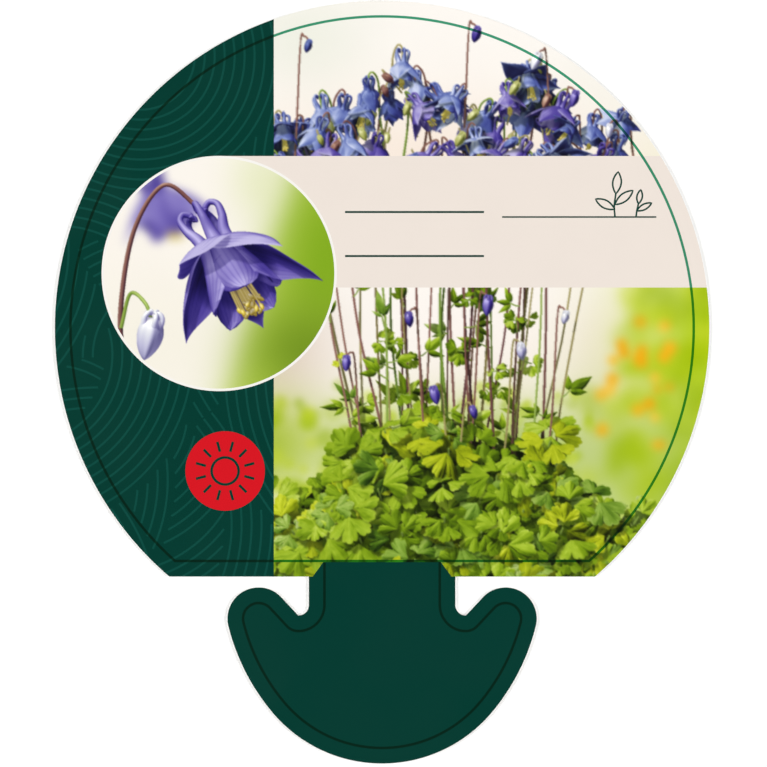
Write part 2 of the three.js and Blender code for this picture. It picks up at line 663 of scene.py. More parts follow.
@dataclass
class Drawing:
    """A picture being drawn: its sharp layer, and the run of chance that shapes what is on it."""

    canvas: Canvas
    rng: np.random.Generator
    BUD_SPUR: ClassVar[tuple] = ((0.22, -0.2), (0.27, 0.12), (0.16, 0.27), (0.04, 0.22))  # out and up

    def proof(self, ground: Array) -> Proof:
        """The finished picture, with a ground behind what is drawn."""
        return Proof(blur(self.canvas.over(ground), 1, 1), self.canvas.low, self.canvas.pitch)

    def between(self, low: float, high: float) -> float:
        """A random number in a range."""
        return float(self.rng.uniform(low, high))

    def seed(self) -> int:
        """A seed for one organ's own pattern."""
        return int(self.rng.integers(1 << 30))

    def one_of(self, *choices: Ramp) -> Ramp:
        """One hue out of several."""
        return choices[int(self.rng.integers(len(choices)))]

    def lean(self, aside: Pair, back: Pair) -> Array:
        """A turn to one side and back, each by a random angle in a range of degrees."""
        return turn((Axis.Z, self.between(*aside)), (Axis.X, self.between(*back)))

    def stalk(self, knots: list | Array, radius: Row, hue: Ramp, light: float = 1.0) -> None:
        """Draws a stalk through some knots."""
        self.canvas.lay(Stalk(np.array(knots, float), radius, hue, light))

    def leaf(self, centre: Array, normal: Array, size: float, fresh: float) -> None:
        """Draws a leaf of three leaflets round the end of its stalk.

        Args:
            centre: The stalk's end.
            normal: The way the leaf faces.
            size: How long a leaflet is.
            fresh: How light its green is.
        """
        spin = self.between(0, 360)
        hue = self.one_of(FRESH, FRESH, FRESH, FRESH, FRESH, COOL, YELLOW)
        facing = facing_along(unit(normal))
        for rank, bearing in enumerate((-104, 0, 104)):
            tilt = turn((Axis.Z, spin + bearing + self.between(-9, 9)), (Axis.X, self.between(-20, 8)),
                        (Axis.Y, self.between(-14, 14)))
            own = facing @ tilt
            pose = Pose(own, centre + own @ np.array([0, 0.14 * size, 0.03 * rank]))
            reach, spread = size * self.between(0.86, 1.1), math.radians(self.between(62, 76))
            droop, own_fresh = self.between(0.0, 0.3), fresh * self.between(0.93, 1.07)
            seed, cut = self.seed(), self.between(0.30, 0.48)
            self.canvas.lay(Leaflet(reach, spread, pose, droop, own_fresh, seed, cut, hue))

    def flower(
        self, size: float, pose: Pose, hue: Ramp, spread: float, stamens: int, light: float = 1.0
    ) -> None:
        """Draws one nodding flower: five pointed sepals, five spurred petals and a tuft of stamens.

        Args:
            size: How long a petal's blade is.
            pose: Its place and turn. Its mouth looks down its own Y axis.
            hue: The petals' colours.
            spread: How far the sepals stand out, from 0 to 1.
            stamens: How many stamens hang from the mouth.
            light: How light it is beside the others.
        """
        for around in self.between(0, FIFTH) + FIFTH * np.arange(5):
            seed, flare, lit = self.seed(), self.between(-0.05, 0.12), light * self.between(0.88, 1.06)
            self.canvas.lay(SpurredPetal(size, around, pose, hue, seed, flare, lit))
            length, half = size * self.between(1.2, 1.5), size * self.between(0.38, 0.48)
            heading, bend = -1.25 + 1.1 * spread + self.between(-0.16, 0.16), self.between(-0.8, -0.1)
            between_petals = around + FIFTH / 2 + self.between(-8, 8)
            seed, lit = self.seed(), light * self.between(0.88, 1.1)
            self.canvas.lay(Blade(length, half, heading, bend, between_petals, pose, hue, seed, lit))
        for _ in range(stamens):
            lean, bearing = self.between(0.0, 0.20), self.between(0, 2 * pi)
            out = np.insert(compass(bearing), 1, 0) * lean * size
            down = np.array([0, -size * self.between(0.95, 1.22), 0])
            route = pose(np.array([0 * out, 0.7 * out + 0.55 * down, out + down]))
            self.stalk(route, (0.017 * size, 0.013 * size), POLLEN, 1.1)
            head = Pose(pose.turn @ turn((Axis.Z, self.between(-50, 50))), route[-1])
            self.canvas.lay(Bead(0.050 * size, 0.028 * size, head, POLLEN, self.between(0.8, 1.15)))

    def bud(self, size: float, pose: Pose, hue: Ramp) -> None:
        """Draws a closed flower: a ribbed egg with the ends of five spurs above it.

        Args:
            size: About how long it is.
            pose: Its place and turn. It hangs down its own Y axis.
            hue: Its colours.
        """
        body = Pose(pose.turn, pose(np.array([0, -0.5 * size, 0])))
        self.canvas.lay(Bead(0.62 * size, 0.36 * size, body, hue, self.between(0.85, 1.1), 5, 0.8))
        for rank in range(5):
            out = np.insert(compass(math.radians(FIFTH * rank + self.between(0, 20))), 1, 0)
            spur = size * np.array([aside * out + [0, up, 0] for aside, up in self.BUD_SPUR])
            self.stalk(pose(spur), (0.10 * size, 0.07 * size, 0.055 * size), hue)


# ---- the two pictures


@dataclass(frozen=True)
class Wash:
    """A soft patch of colour on a picture's ground, which fades out at its radii."""

    centre: Pair
    radii: Pair
    tone: str
    strength: float

    def over(self, ground: Array, x: Array, y: Array) -> Array:
        """Lays this patch on a ground.

        Args:
            ground: The ground.
            x: Where its samples are across.
            y: Where they are up.

        Returns:
            The ground with the patch on it.
        """
        across, up = (x - self.centre[0]) / self.radii[0], (y - self.centre[1]) / self.radii[1]
        cover = (self.strength * np.exp(-(across**2) - up**2))[..., None]
        return ground * (1 - cover) + tone_of(self.tone) * cover


@dataclass(frozen=True)
class Bokeh:
    """Out-of-focus spots of light, scattered over part of a picture's ground."""

    count: int
    low: Pair
    high: Pair
    hue: Ramp
    radius: Pair
    strength: Pair
    soften: float

    def over(self, ground: Array, drawing: Drawing) -> Array:
        """Scatters these spots on a ground.

        Args:
            ground: The ground.
            drawing: The picture it belongs to.

        Returns:
            The ground with the spots on it.
        """
        canvas = drawing.canvas
        x, y = canvas.grid()
        spots = ground.copy()
        for _ in range(self.count):
            centre = drawing.rng.uniform(self.low, self.high)
            radius = drawing.between(*self.radius)
            first, last = (np.maximum((centre + side * radius - canvas.low) / canvas.pitch, 0).astype(int)
                           for side in (-1, 1))
            part = (slice(first[1], last[1]), slice(first[0], last[0]))
            reach = np.hypot(x[part] - centre[0], y[part] - centre[1])
            cover = np.clip((radius - reach) / (0.25 * radius), 0, 1)[..., None]
            cover *= drawing.between(*self.strength)
            spots[part] = spots[part] * (1 - cover) + self.hue(drawing.between(0.3, 0.95)) * cover
        return blur(spots, self.soften / canvas.pitch)


@dataclass
class GardenPicture(Drawing):
    """The large picture: a columbine in flower over its mound of leaves, before a soft garden."""

    root: float = -15.0  # the height that the stems come up from, inside the mound
    mound_centre: Pair = (9.0, -34.0)
    mound_radii: tuple[float, float, float] = (31.0, 29.5, 14.0)
    flowers: int = 42
    stems: int = 34
    BUDS: ClassVar[tuple] = (
        (-4.6, 3.0), (3.4, 8.6), (11.6, -3.4), (17.8, 4.6), (6.6, -1.0), (23.6, 8.8), (13.6, 10.6),
        (24.8, 37.0), (29.2, 32.8), (20.0, 41.8), (-9.4, 43.6), (12.2, 45.2),
    )
    PAPER: ClassVar[str] = "#fdf8f1"
    LAYERS: ClassVar[tuple] = (
        (140, 1.0, 0.96), (150, 0.90, 0.74), (170, 0.78, 0.48)
    )  # how many leaves each has, how far out it is, and how light
    STEM_HUES: ClassVar[tuple[Ramp, ...]] = (BROWN_STEM, BROWN_STEM, TAN_STEM, GREEN_STEM)

    def draw(self) -> Proof:
        """Draws the garden, the mound, the flowers and the buds in front.

        Returns:
            The finished picture.
        """
        ground = self.ground()
        self.mound()
        for spot in self.flower_spots():
            self.flower_stalk(*spot)
        for number in range(self.stems):
            self.leafy_stem((number + 0.5) / self.stems)
        for spot in self.BUDS:
            self.bud_stalk(*spot)
        self.canvas.shade(0.8, 2.4, 0.78, tone_of("#232c14"))
        return self.proof(ground)

    def ground(self) -> Array:
        """Makes the out-of-focus garden behind the plant.

        Returns:
            A colour for each sample.
        """
        x, y = self.canvas.grid()
        ground = np.ones((*x.shape, 3)) * tone_of(self.PAPER)
        for wash in (
            Wash((8, 29), (30, 8), "#f7e6d6", 0.80), Wash((34, 40), (10, 7), "#eef0e2", 0.45),
            Wash((-10, 44), (8, 6), "#dfe6d2", 0.45), Wash((-15, 4), (9, 8), "#d9c6b6", 0.90),
            Wash((14, 0), (15, 10), "#fbeee6", 0.60), Wash((28, 3), (6, 9), "#efe2d2", 0.60),
            Wash((44, -17), (19, 15), "#93b436", 0.95), Wash((44, 6), (10, 16), "#a6c600", 1.0),
            Wash((10, -9), (18, 6), "#8fae2c", 0.85), Wash((-15, -8), (7, 6), "#a3bb2c", 0.90),
        ):
            ground = wash.over(ground, x, y)
        for spots in (
            Bokeh(120, (26, -26), (43, -2), MEADOW, (0.5, 2.0), (0.2, 0.6), 0.45),
            Bokeh(60, (31, -4), (43, 13), MEADOW, (0.6, 2.4), (0.2, 0.6), 0.45),
            Bokeh(26, (28, -9), (37, 8), ORANGE, (0.45, 1.0), (0.7, 1.0), 0.10),
            Bokeh(40, (-15, -16), (-3, -2), MEADOW, (0.5, 1.6), (0.3, 0.8), 0.35),
            Bokeh(130, (-6, -14), (27, 0), MEADOW, (0.3, 1.1), (0.15, 0.55), 0.22),
        ):
            ground = spots.over(ground, self)
        return ground

    def mound(self) -> None:
        """Leaves over a low dome, layer on layer, with the deeper ones darker, and deep shade inside."""
        radii = np.array(self.mound_radii)
        inside_shade = Pose(np.eye(3), np.array([*self.mound_centre, -23.0]))
        self.canvas.lay(Bead(26.5, 27.0, inside_shade, FRESH, 0.3, pointed=0.5))
        for leaves, deep, fresh in self.LAYERS:
            for _ in range(leaves):
                across, up = self.between(-1, 1), self.between(0.15, 1.0)
                around = np.array([across, up * math.sqrt(1 - across**2), 0])
                around[2] = math.sqrt(max(1 - around @ around, 0.0))
                spot = [*self.mound_centre, 0] + radii * around * deep * self.between(0.96, 1.05)
                normal = 0.45 * unit(around / radii) + [0, 0.38, 0.62] + self.rng.normal(0, 0.28, 3)
                normal[2] = max(normal[2], 0.25)
                self.leaf(spot, normal, self.between(2.4, 3.8), fresh * self.between(0.86, 1.10))
                if deep == 1.0:
                    base = spot * [0.9, 1, 1] + [1.0, -5.0, -4.5]
                    self.stalk([base, 0.5 * (base + spot) + [0, 0.6, 0], spot], (0.11, 0.09), GREEN_STEM)

    def flower_spots(self) -> list[Array]:
        """Scatters the flowers in a loose cloud with two crowns.

        Returns:
            Where each one is.
        """
        spots = []
        while len(spots) < self.flowers:
            x, part = self.rng.uniform(-13, 31), self.rng.uniform(0, 1)
            crown = 34.2 + 7.5 * math.exp(-(((x - 2) / 7) ** 2)) + 5.5 * math.exp(-(((x - 20) / 5) ** 2))
            spot = np.array([x, 27.5 + (crown - 27.5) * part])
            if all(np.linalg.norm(spot - other) > 2.1 for other in spots):
                spots.append(spot)
        return spots

    def flower_stalk(self, x: float, y: float) -> None:
        """Draws one flower on its thin stalk, which hooks over above it, and a bud or seed case beside it.

        Args:
            x: Where the flower is across.
            y: Where it is up.
        """
        depth = self.between(0, 6) + 0.5 * (36 - y)
        size = self.between(2.5, 3.5)
        place = np.array([x, y, depth])
        tilt = self.lean((-48, 48), (-46, 40))
        hue = self.one_of(BLUE, BLUE, BLUE, VIOLET)
        spread, light = self.between(0.2, 1.0), self.between(0.85, 1.22)
        self.flower(size, Pose(tilt, place), hue, spread, 9, light)
        side = math.copysign(1, self.between(-1, 1))
        neck = place + tilt @ np.array([0, 0.5, 0]) * size
        knots = [place + [3 * side, -14, -3], place + [1.4 * side, -4.0, -3], place + [1.2 * side, 0.4, -1.6],
                 neck + [0.6 * side, 0.7, -0.2], neck + [0, 0.4, 0], place]
        hue = self.one_of(*self.STEM_HUES)
        self.stalk(knots, (0.13, 0.12, 0.11, 0.09, 0.08), hue, self.between(0.75, 1.1))
        if self.between(0, 1) < 0.6:
            bud = place + self.rng.uniform([0.8, -2.2, 1], [2.2, 1.4, 3]) * [side, 1, 1]
            lean = self.lean((-60, 60), (-30, 30))
            hue = self.one_of(SEED, SEED, BLUE, BROWN_STEM)
            self.bud(self.between(0.9, 1.6), Pose(lean, bud), hue)
            self.stalk([bud, bud + [0.3 * side, 0.7, -0.4], place - [0, 4.0, 2.0]], (0.07, 0.08), TAN_STEM)

    def leafy_stem(self, along: float) -> None:
        """A thin stem from the mound to the flowers, with narrow leaves at its joints.

        Args:
            along: How far it stands from left to right, from 0 to 1.
        """
        base = -4 + 25.5 * along + self.between(-1.6, 1.6)
        top = base + 0.30 * (base - 9) + self.between(-3.2, 3.2)
        depth, sway = self.between(-8, 3), self.between(-1.1, 1.1)
        middle = 0.5 * (base + top) + sway
        knots = [[base, self.root, -3], [base + 0.3 * sway, -7, -1], [middle, 6, 0],
                 [0.4 * middle + 0.6 * top, 17, 0], [top, self.between(24, 28), 0]]
        knots = np.array(knots) + [0, 0, depth]
        thick = self.between(0.085, 0.155)
        hue = self.one_of(*self.STEM_HUES)
        tapered = tuple(thick * share for share in (1, 0.9, 0.8, 0.7))
        self.stalk(knots, tapered, hue, self.between(0.45, 1.1))
        for _ in range(int(self.rng.integers(0, 5))):
            joint = curve(knots, np.array([self.between(0.14, 0.68)]))[0] + [0, 0, 0.3]
            self.side_leaves(joint)

    def side_leaves(self, joint: Array) -> None:
        """Draws a stalk to one side of a stem's joint, with a small lobed leaf or three narrow ones.

        Args:
            joint: The joint.
        """
        bearing = self.between(-30, 55) + (0 if self.between(0, 1) < 0.5 else 90)
        ahead = turn((Axis.Z, bearing if bearing < 60 else bearing + 35))[:, 0]
        spot = joint + self.between(0.3, 1.8) * ahead
        fresh = self.between(0.90, 1.30)
        knots = [joint, 0.5 * (joint + spot) + [0, -0.1, 0], spot + 0.2 * ahead]
        self.stalk(knots, (0.06, 0.05), GREEN_STEM)
        if self.between(0, 1) < 0.35:
            normal = self.rng.uniform([-0.5, 0.1, 0.4], [0.5, 0.8, 0.9])
            self.leaf(spot, normal, self.between(1.0, 1.9), 0.85 * fresh)
            return
        hue = self.one_of(FRESH, FRESH, FRESH, COOL)
        own = math.degrees(math.atan2(ahead[1], ahead[0]))
        for part, share in ((-42, 0.9), (0, 1.15), (42, 0.9)):
            toward = own + part + self.between(-12, 12)
            pose = Pose(turn((Axis.Z, toward), (Axis.X, 90 + self.between(-42, 42))), spot)
            length = self.between(1.5, 2.9) * share
            half, bend = length * self.between(0.15, 0.24), self.between(-0.8, -0.1)
            self.canvas.lay(Blade(length, half, 0.15, bend, 0, pose, hue, self.seed(), fresh, 0.15))

    def bud_stalk(self, x: float, y: float) -> None:
        """Draws a nodding bud on its own thin stalk, from the mound or from below the flowers.

        Args:
            x: Where the bud is across.
            y: Where it is up.
        """
        tilt = self.lean((-30, 30), (-20, 25))
        hue = self.one_of(BLUE, VIOLET, VIOLET, PALE)
        self.bud(self.between(1.2, 1.9), Pose(tilt, np.array([x, y, 9.0])), hue)
        inwards = self.mound_centre[0] - x if y < 20 else 0.0
        side = math.copysign(1, self.between(-1, 1) + inwards)
        start = self.root if y < 20 else 16.0
        knots = [[x + 3.0 * side, start, -2], [x + 1.8 * side, 0.5 * (start + y) - 1, 3],
                 [x + 1.1 * side, y - 0.4, 6], [x + 0.6 * side, y + 0.8, 8], [x, y + 0.3, 9]]
        self.stalk(knots, (0.11, 0.10, 0.08), self.one_of(*self.STEM_HUES[:3]))


@dataclass
class CloseUpPicture(Drawing):
    """The round picture: one flower and a bud, close up, and a blurred flower far behind them."""

    def draw(self) -> Proof:
        """Draws everything, from the ground to the bud in front.

        Returns:
            The finished picture.
        """
        far = Drawing(Canvas(self.canvas.low, self.canvas.high, self.canvas.pitch), self.rng)
        middle = np.append((self.canvas.low + self.canvas.high) / 2, 0.0)
        ground = self.ground(*middle[:2])
        blurred = Pose(turn((Axis.Z, 24), (Axis.X, 10)), middle + [-8.5, 11.0, 0])
        far.flower(6.0, blurred, VIOLET, 0.5, 10)
        ground = far.canvas.over(ground, 0.55)
        place = middle + [-0.6, 4.0, 6]
        pose = Pose(turn((Axis.Z, 30), (Axis.X, -27), (Axis.Y, 22)), place)
        self.flower(9.6, pose, VIOLET, 0.66, 38, 1.08)
        neck = place + pose.turn @ np.array([0, 3.2, 0])
        knots = [middle + [-12.4, -13.0, -2], middle + [-12.6, -4.0, 0], middle + [-10.9, 5.6, 2],
                 middle + [-7.2, 11.3, 4], neck + [-1.4, 2.6, -1], neck + [-0.2, 0.8, -0.5], place]
        self.stalk(knots, (0.32, 0.30, 0.27, 0.24, 0.26), BROWN_STEM, 0.95)
        bud = middle + [-8.6, -6.2, 4]
        self.bud(4.6, Pose(turn((Axis.Z, -12), (Axis.X, 14)), bud), PALE)
        knots = [middle + [-12.6, -7.0, 0], middle + [-11.4, -2.6, 1.5], middle + [-9.5, -3.8, 3.5], bud]
        self.stalk(knots, (0.22, 0.2), GREEN_STEM)
        self.canvas.shade(1.4, 3.0, 0.62, tone_of("#2a1c6a"))
        return self.proof(ground)

    def ground(self, middle_x: float, middle_y: float) -> Array:
        """Makes a pale ground that turns to soft green on the right.

        Args:
            middle_x: The picture's middle across.
            middle_y: Its middle up.

        Returns:
            A colour for each sample.
        """
        x, y = self.canvas.grid()
        x, y = x - middle_x, y - middle_y
        ground = np.ones((*x.shape, 3)) * tone_of("#fbf5ec")
        ground = Wash((-9, -9), (13, 10), "#f5f0e0", 0.8).over(ground, x, y)
        green = (0.98 / (1 + np.exp((5.6 - 0.95 * x + 0.30 * y) / 1.2)))[..., None]
        ground = ground * (1 - green) + tone_of("#a9c440") * green
        for wash in (Wash((14, 2), (6, 12), "#7fa81c", 0.9), Wash((11, -10), (7, 6), "#6b8b1b", 0.8),
                     Wash((5, 12), (4, 5), "#dfe6b0", 0.5)):
            ground = wash.over(ground, x, y)
        return ground


# ---- outlines


def arc(centre: Array, radius: float, start: float, end: float) -> Array:
    """Follows an arc, in steps of no more than ARC_STEP or a tenth of a radian.

    Args:
        centre: Its middle.
        radius: Its radius.
        start: The angle where it starts, in radians.
        end: The angle where it ends, which may be the smaller one.

    Returns:
        The points along it.
    """
    widest = min(ARC_STEP / max(radius, 1e-6), 0.1)
    angle = np.linspace(start, end, max(2, math.ceil(abs(end - start) / widest) + 1))
    return np.array(centre) + radius * compass(angle)


def circle(centre: Array, radius: float) -> Array:
    """A closed round loop."""
    return arc(centre, radius, 0, 2 * pi)[:-1]


def rectangle(low: Pair, high: Pair) -> Array:
    """A closed loop round a box."""
    return np.array([low, (high[0], low[1]), high, (low[0], high[1])], float)


def lattice(low: Array, high: Array, pitch: float) -> Array:
    """The points of a square lattice over a box, row by row."""
    sides = (np.arange(start, end, pitch) for start, end in zip(low, high))
    return np.stack(np.meshgrid(*sides), -1).reshape(-1, 2)


def leaf_shape(base: Array, tip: Array, width: float) -> Array:
    """Makes a closed pointed oval.

    Args:
        base: One end.
        tip: The other end.
        width: How wide it is in the middle.

    Returns:
        Its points.
    """
    base, tip = np.array(base, float), np.array(tip, float)
    along = np.linspace(0, 1, 15)
    middle = base + (tip - base) * along[:, None]
    side = leftwards(unit(tip - base)) * (width / 2 * np.sin(pi * along) ** 0.85)[:, None]
    return np.concatenate([middle + side, (middle - side)[-2:0:-1]])


def shrunk(loop: Array, inset: float) -> Array:
    """Moves a counter-clockwise loop inwards, point for point.

    Args:
        loop: The loop.
        inset: How far to move it.

    Returns:
        The smaller loop.
    """
    inwards = leftwards(unit(np.roll(loop, -1, axis=0) - loop))
    both = inwards + np.roll(inwards, 1, axis=0)
    return loop + inset * 2 * both / np.maximum((both**2).sum(1, keepdims=True), 1.0)


def stroke(path: Array, width: float, closed: bool = False) -> Loops:
    """The outline of a line drawn along a path.

    Args:
        path: The points it follows.
        width: The line's width.
        closed: Whether its end joins its start.

    Returns:
        One loop round an open line, or the two loops of a closed one.
    """
    path = np.asarray(path, float)
    if closed:
        ahead = np.roll(path, -1, axis=0) - np.roll(path, 1, axis=0)
    else:
        ahead = np.gradient(path, axis=0)
    aside = width / 2 * leftwards(unit(ahead))
    if closed:
        return path + aside, path - aside
    return (np.concatenate([path + aside, (path - aside)[::-1]]),)


def numbered(counts: Array) -> tuple[Array, Array]:
    """Numbers the members of groups of some sizes: whose group each is in, and its place in that group."""
    owner = np.repeat(np.arange(len(counts)), counts)
    return owner, np.arange(len(owner)) - np.repeat(np.cumsum(counts) - counts, counts)


def inside(starts: Array, ends: Array, points: Array) -> Array:
    """Which points some closed loops hold, by the even-odd rule.

    Each edge is tested only against the points that are level with it.

    Args:
        starts: Where each edge of the loops starts.
        ends: Where each edge ends.
        points: The points to test.

    Returns:
        A mask over the points.
    """
    order = np.argsort(points[:, 1])
    heights = points[order, 1]
    first = np.searchsorted(heights, np.minimum(starts[:, 1], ends[:, 1]))
    last = np.searchsorted(heights, np.maximum(starts[:, 1], ends[:, 1]))
    edge, step = numbered(last - first)
    level = order[first[edge] + step]
    start, way = starts[edge], (ends - starts)[edge]
    ahead = points[level, 0] < start[:, 0] + (points[level, 1] - start[:, 1]) * way[:, 0] / way[:, 1]
    return np.bincount(level[ahead], minlength=len(points)) % 2 == 1


def edges_of(loops: Loops) -> tuple[Array, Array]:
    """Where each edge of some closed loops starts and ends."""
    return np.concatenate(loops), np.concatenate([np.roll(loop, -1, axis=0) for loop in loops])


def within(loops: Loops, points: Array) -> Array:
    """Which points some closed loops hold."""
    return inside(*edges_of(loops), points)


@dataclass(frozen=True)
class DieLine:
    """The label's cut outline, in arcs and straights, with the middle of its box at the origin."""

    head_radius: float = 42.0
    shoulder_drop: float = 31.9  # from the head's centre down to the straight shoulders
    neck_width: float = 18.8
    foot_depth: float = 24.0  # from the shoulders down to the foot's tip
    foot_width: float = 39.7  # across the two flukes
    fluke_radius: float = 4.0
    fluke_gap: float = 1.4  # between a shoulder and the fluke's top
    tip_radius: float = 18.4
    flank_radius: float = 27.6
    notch_radius: float = 1.35
    notch_depth: float = 5.0

    @property
    def head_centre(self) -> Array:
        """The middle of the round head."""
        return np.array([0.0, (self.shoulder_drop + self.foot_depth - self.head_radius) / 2])

    @property
    def shoulder(self) -> float:
        """The height of the straight shoulders."""
        return float(self.head_centre[1]) - self.shoulder_drop

    def head(self, inset: float = 0.0) -> Array:
        """The head's round edge from the right shoulder to the left one, moved inwards."""
        corner = math.asin((self.shoulder_drop - inset) / (self.head_radius - inset))
        return arc(self.head_centre, self.head_radius - inset, -corner, pi + corner)

    def foot(self, inset: float = 0.0, top: float = 0.0) -> Array:
        """The neck and foot from top left, round the tip, to top right.

        Args:
            inset: How far inwards from the cut it runs.
            top: How far above the shoulders it starts.

        Returns:
            The points of the edge.
        """
        tip = np.array([0.0, self.shoulder - self.foot_depth + self.tip_radius])
        fluke = np.array([self.foot_width / 2, self.shoulder - self.fluke_gap]) - self.fluke_radius
        notch = np.array([self.neck_width / 2, self.shoulder - self.notch_depth]) + self.notch_radius
        flank = self._flank_centre(tip, fluke)
        notch_foot = notch - [0, self.notch_radius]
        to_fluke = fluke - notch_foot
        slope = math.atan2(to_fluke[1], to_fluke[0]) + math.asin(self.fluke_radius / np.linalg.norm(to_fluke))
        at_fluke, at_tip = (math.atan2(*(spot - flank)[::-1]) for spot in (fluke, tip))
        quarter = pi / 2
        right = np.concatenate([
            [[self.neck_width / 2 - inset, self.shoulder + top]],
            arc(notch, self.notch_radius + inset, pi, 3 * quarter),
            arc(notch_foot, inset, -quarter, slope - quarter),
            arc(fluke, self.fluke_radius - inset, slope + quarter, at_fluke),
            arc(flank, self.flank_radius - inset, at_fluke, at_tip),
            arc(tip, self.tip_radius - inset, at_tip, -quarter),
        ])
        return np.concatenate([right * [-1, 1], right[::-1]])

    def _flank_centre(self, tip: Array, fluke: Array) -> Array:
        """Finds the middle of the flank's arc, which touches the tip's arc and the fluke's from outside.

        Args:
            tip: The middle of the tip's arc.
            fluke: The middle of the fluke's arc.

        Returns:
            That point.
        """
        from_tip, from_fluke = self.flank_radius - self.tip_radius, self.flank_radius - self.fluke_radius
        between = fluke - tip
        span = float(np.linalg.norm(between))
        along = (span**2 + from_tip**2 - from_fluke**2) / (2 * span)
        ahead = between / span
        return tip + along * ahead + math.sqrt(from_tip**2 - along**2) * leftwards(ahead)

    def outline(self) -> Array:
        """The whole cut edge as one closed counter-clockwise loop."""
        loop = np.concatenate([self.head(), self.foot()])
        return loop[np.linalg.norm(loop - np.roll(loop, 1, axis=0), axis=1) > 0.001]


# ---- the printed shapes


class Plate(Enum):
    """The printed fields of the label, each a piece of its own."""

    FOOT = "foot_print"
    LOWER_PICTURE = "lower_picture_print"
    UPPER_PICTURE = "upper_picture_print"
    PANEL = "panel_print"
    NAME_BAND = "name_band_print"
    CLOSE_UP = "close_up_print"
    BACK = "back_print"


class Ink(Protocol):
    """What gives a printed shape its colour."""

    def ink_at(self, points: Array, below: Array) -> Array:
        """The colours at some points, over the colours below."""


@dataclass(frozen=True)
class FlatInk:
    """A solid colour."""

    tone: str

    def ink_at(self, points: Array, below: Array) -> Array:
        """The same colour everywhere."""
        return np.broadcast_to(tone_of(self.tone), below.shape)


@dataclass(frozen=True)
class ClearInk(FlatInk):
    """A see-through colour, which darkens what it is printed on."""

    def ink_at(self, points: Array, below: Array) -> Array:
        """The colours below, seen through this one."""
        return below * tone_of(self.tone)


@dataclass(frozen=True)
class Shape:
    """One printed shape: what its closed loops hold takes its ink."""

    loops: Loops
    ink: Ink
    plate: Plate | None = None  # the field that it makes, if it makes one
    only: Plate | None = None  # the field that it stays in, if it stays in one

    @property
    def hides(self) -> bool:
        """Whether it hides what is printed below it."""
        return self.only is None and not isinstance(self.ink, ClearInk)

    def short_edges(self, longest: float) -> tuple[Array, Array]:
        """Its edges, with the long ones cut into equal steps.

        Args:
            longest: The longest step to leave, in mm.

        Returns:
            Where each step starts and ends.
        """
        starts, ends = edges_of(self.loops)
        counts = np.ceil(np.linalg.norm(ends - starts, axis=1) / longest).astype(int).clip(1)
        owner, step = numbered(counts)
        first, way, count = starts[owner], (ends - starts)[owner], counts[owner, None]
        return first + way * step[:, None] / count, first + way * (step[:, None] + 1) / count


@dataclass(frozen=True)
class CombedBand:
    """One bundle of parallel arcs: a stretch of a broad ring, as a comb leaves it."""

    centre: Array
    inner: float
    outer: float
    heading: Array  # a unit vector from the centre to the stretch's middle
    half_angle: float

    def holds(self, points: Array, margin: float) -> Array:
        """Tells which points lie in the bundle.

        Args:
            points: The points.
            margin: How far outside it still counts.

        Returns:
            A mask over the points.
        """
        out = points - self.centre
        reach = np.linalg.norm(out, axis=1)
        ahead = out @ self.heading > reach * math.cos(self.half_angle + margin / self.outer)
        return (reach > self.inner - margin) & (reach < self.outer + margin) & ahead


@dataclass(frozen=True)
class CombedPattern:
    """Thin lines in overlapping bundles of parallel arcs, in all directions."""

    pitch: float = 1.28
    lines: int = 9
    line_width: float = 0.27
    cell: float = 9.6  # how far apart the bundles are
    bend: Pair = (12.0, 26.0)  # the arcs' radii
    reach: float = 14.0  # half a bundle's length
    gap: float = 0.3  # how far from a covering bundle the lines end
    shortest: float = 2.2  # the shortest stretch that is drawn
    step: float = 0.1  # mm between the samples of a line
    leans: Row = (20, 62, 118, 160)  # degrees that the bundles' middles lean, in turn
    seed: int = 13

    def bands(self, low: Array, high: Array) -> list[CombedBand]:
        """Scatters the bundles over a box.

        Args:
            low: The box's lower left corner.
            high: Its upper right corner.

        Returns:
            The bundles, the lowest first.
        """
        rng = np.random.default_rng(self.seed)
        spots = lattice(low, high + self.cell, self.cell)
        rng.shuffle(spots)
        half = self.lines * self.pitch / 2
        bands = []
        for number, spot in enumerate(spots):
            lean = math.radians(self.leans[number % len(self.leans)] + rng.uniform(-16, 16))
            heading = rng.choice([-1, 1]) * compass(lean)
            radius = rng.uniform(*self.bend)
            centre = spot + rng.uniform(-1.5, 1.5, 2) - radius * heading
            bands.append(CombedBand(centre, radius - half, radius + half, heading, self.reach / radius))
        return bands

    def drawn(self, low: Array, high: Array, shows: Callable[[Array], Array]) -> Iterator[Array]:
        """The seen stretches of every line.

        Args:
            low: The lower left corner of the box to fill.
            high: Its upper right corner.
            shows: Says which points are on the patterned field.

        Yields:
            The points along one stretch.
        """
        bands = self.bands(low, high)
        for rank, band in enumerate(bands):
            middle = math.atan2(band.heading[1], band.heading[0])
            for line in range(self.lines):
                radius = band.inner + (line + 0.5) * self.pitch
                angle = middle + np.arange(-band.half_angle, band.half_angle, self.step / radius)
                samples = band.centre + radius * compass(angle)
                seen = shows(samples)
                for cover in bands[rank + 1 :]:
                    seen &= ~cover.holds(samples, self.gap)
                for run in np.split(np.arange(len(samples)), np.flatnonzero(np.diff(seen.astype(int))) + 1):
                    if seen[run[0]] and len(run) * self.step > self.shortest:
                        yield samples[np.append(run[:-3:4], run[-1])]


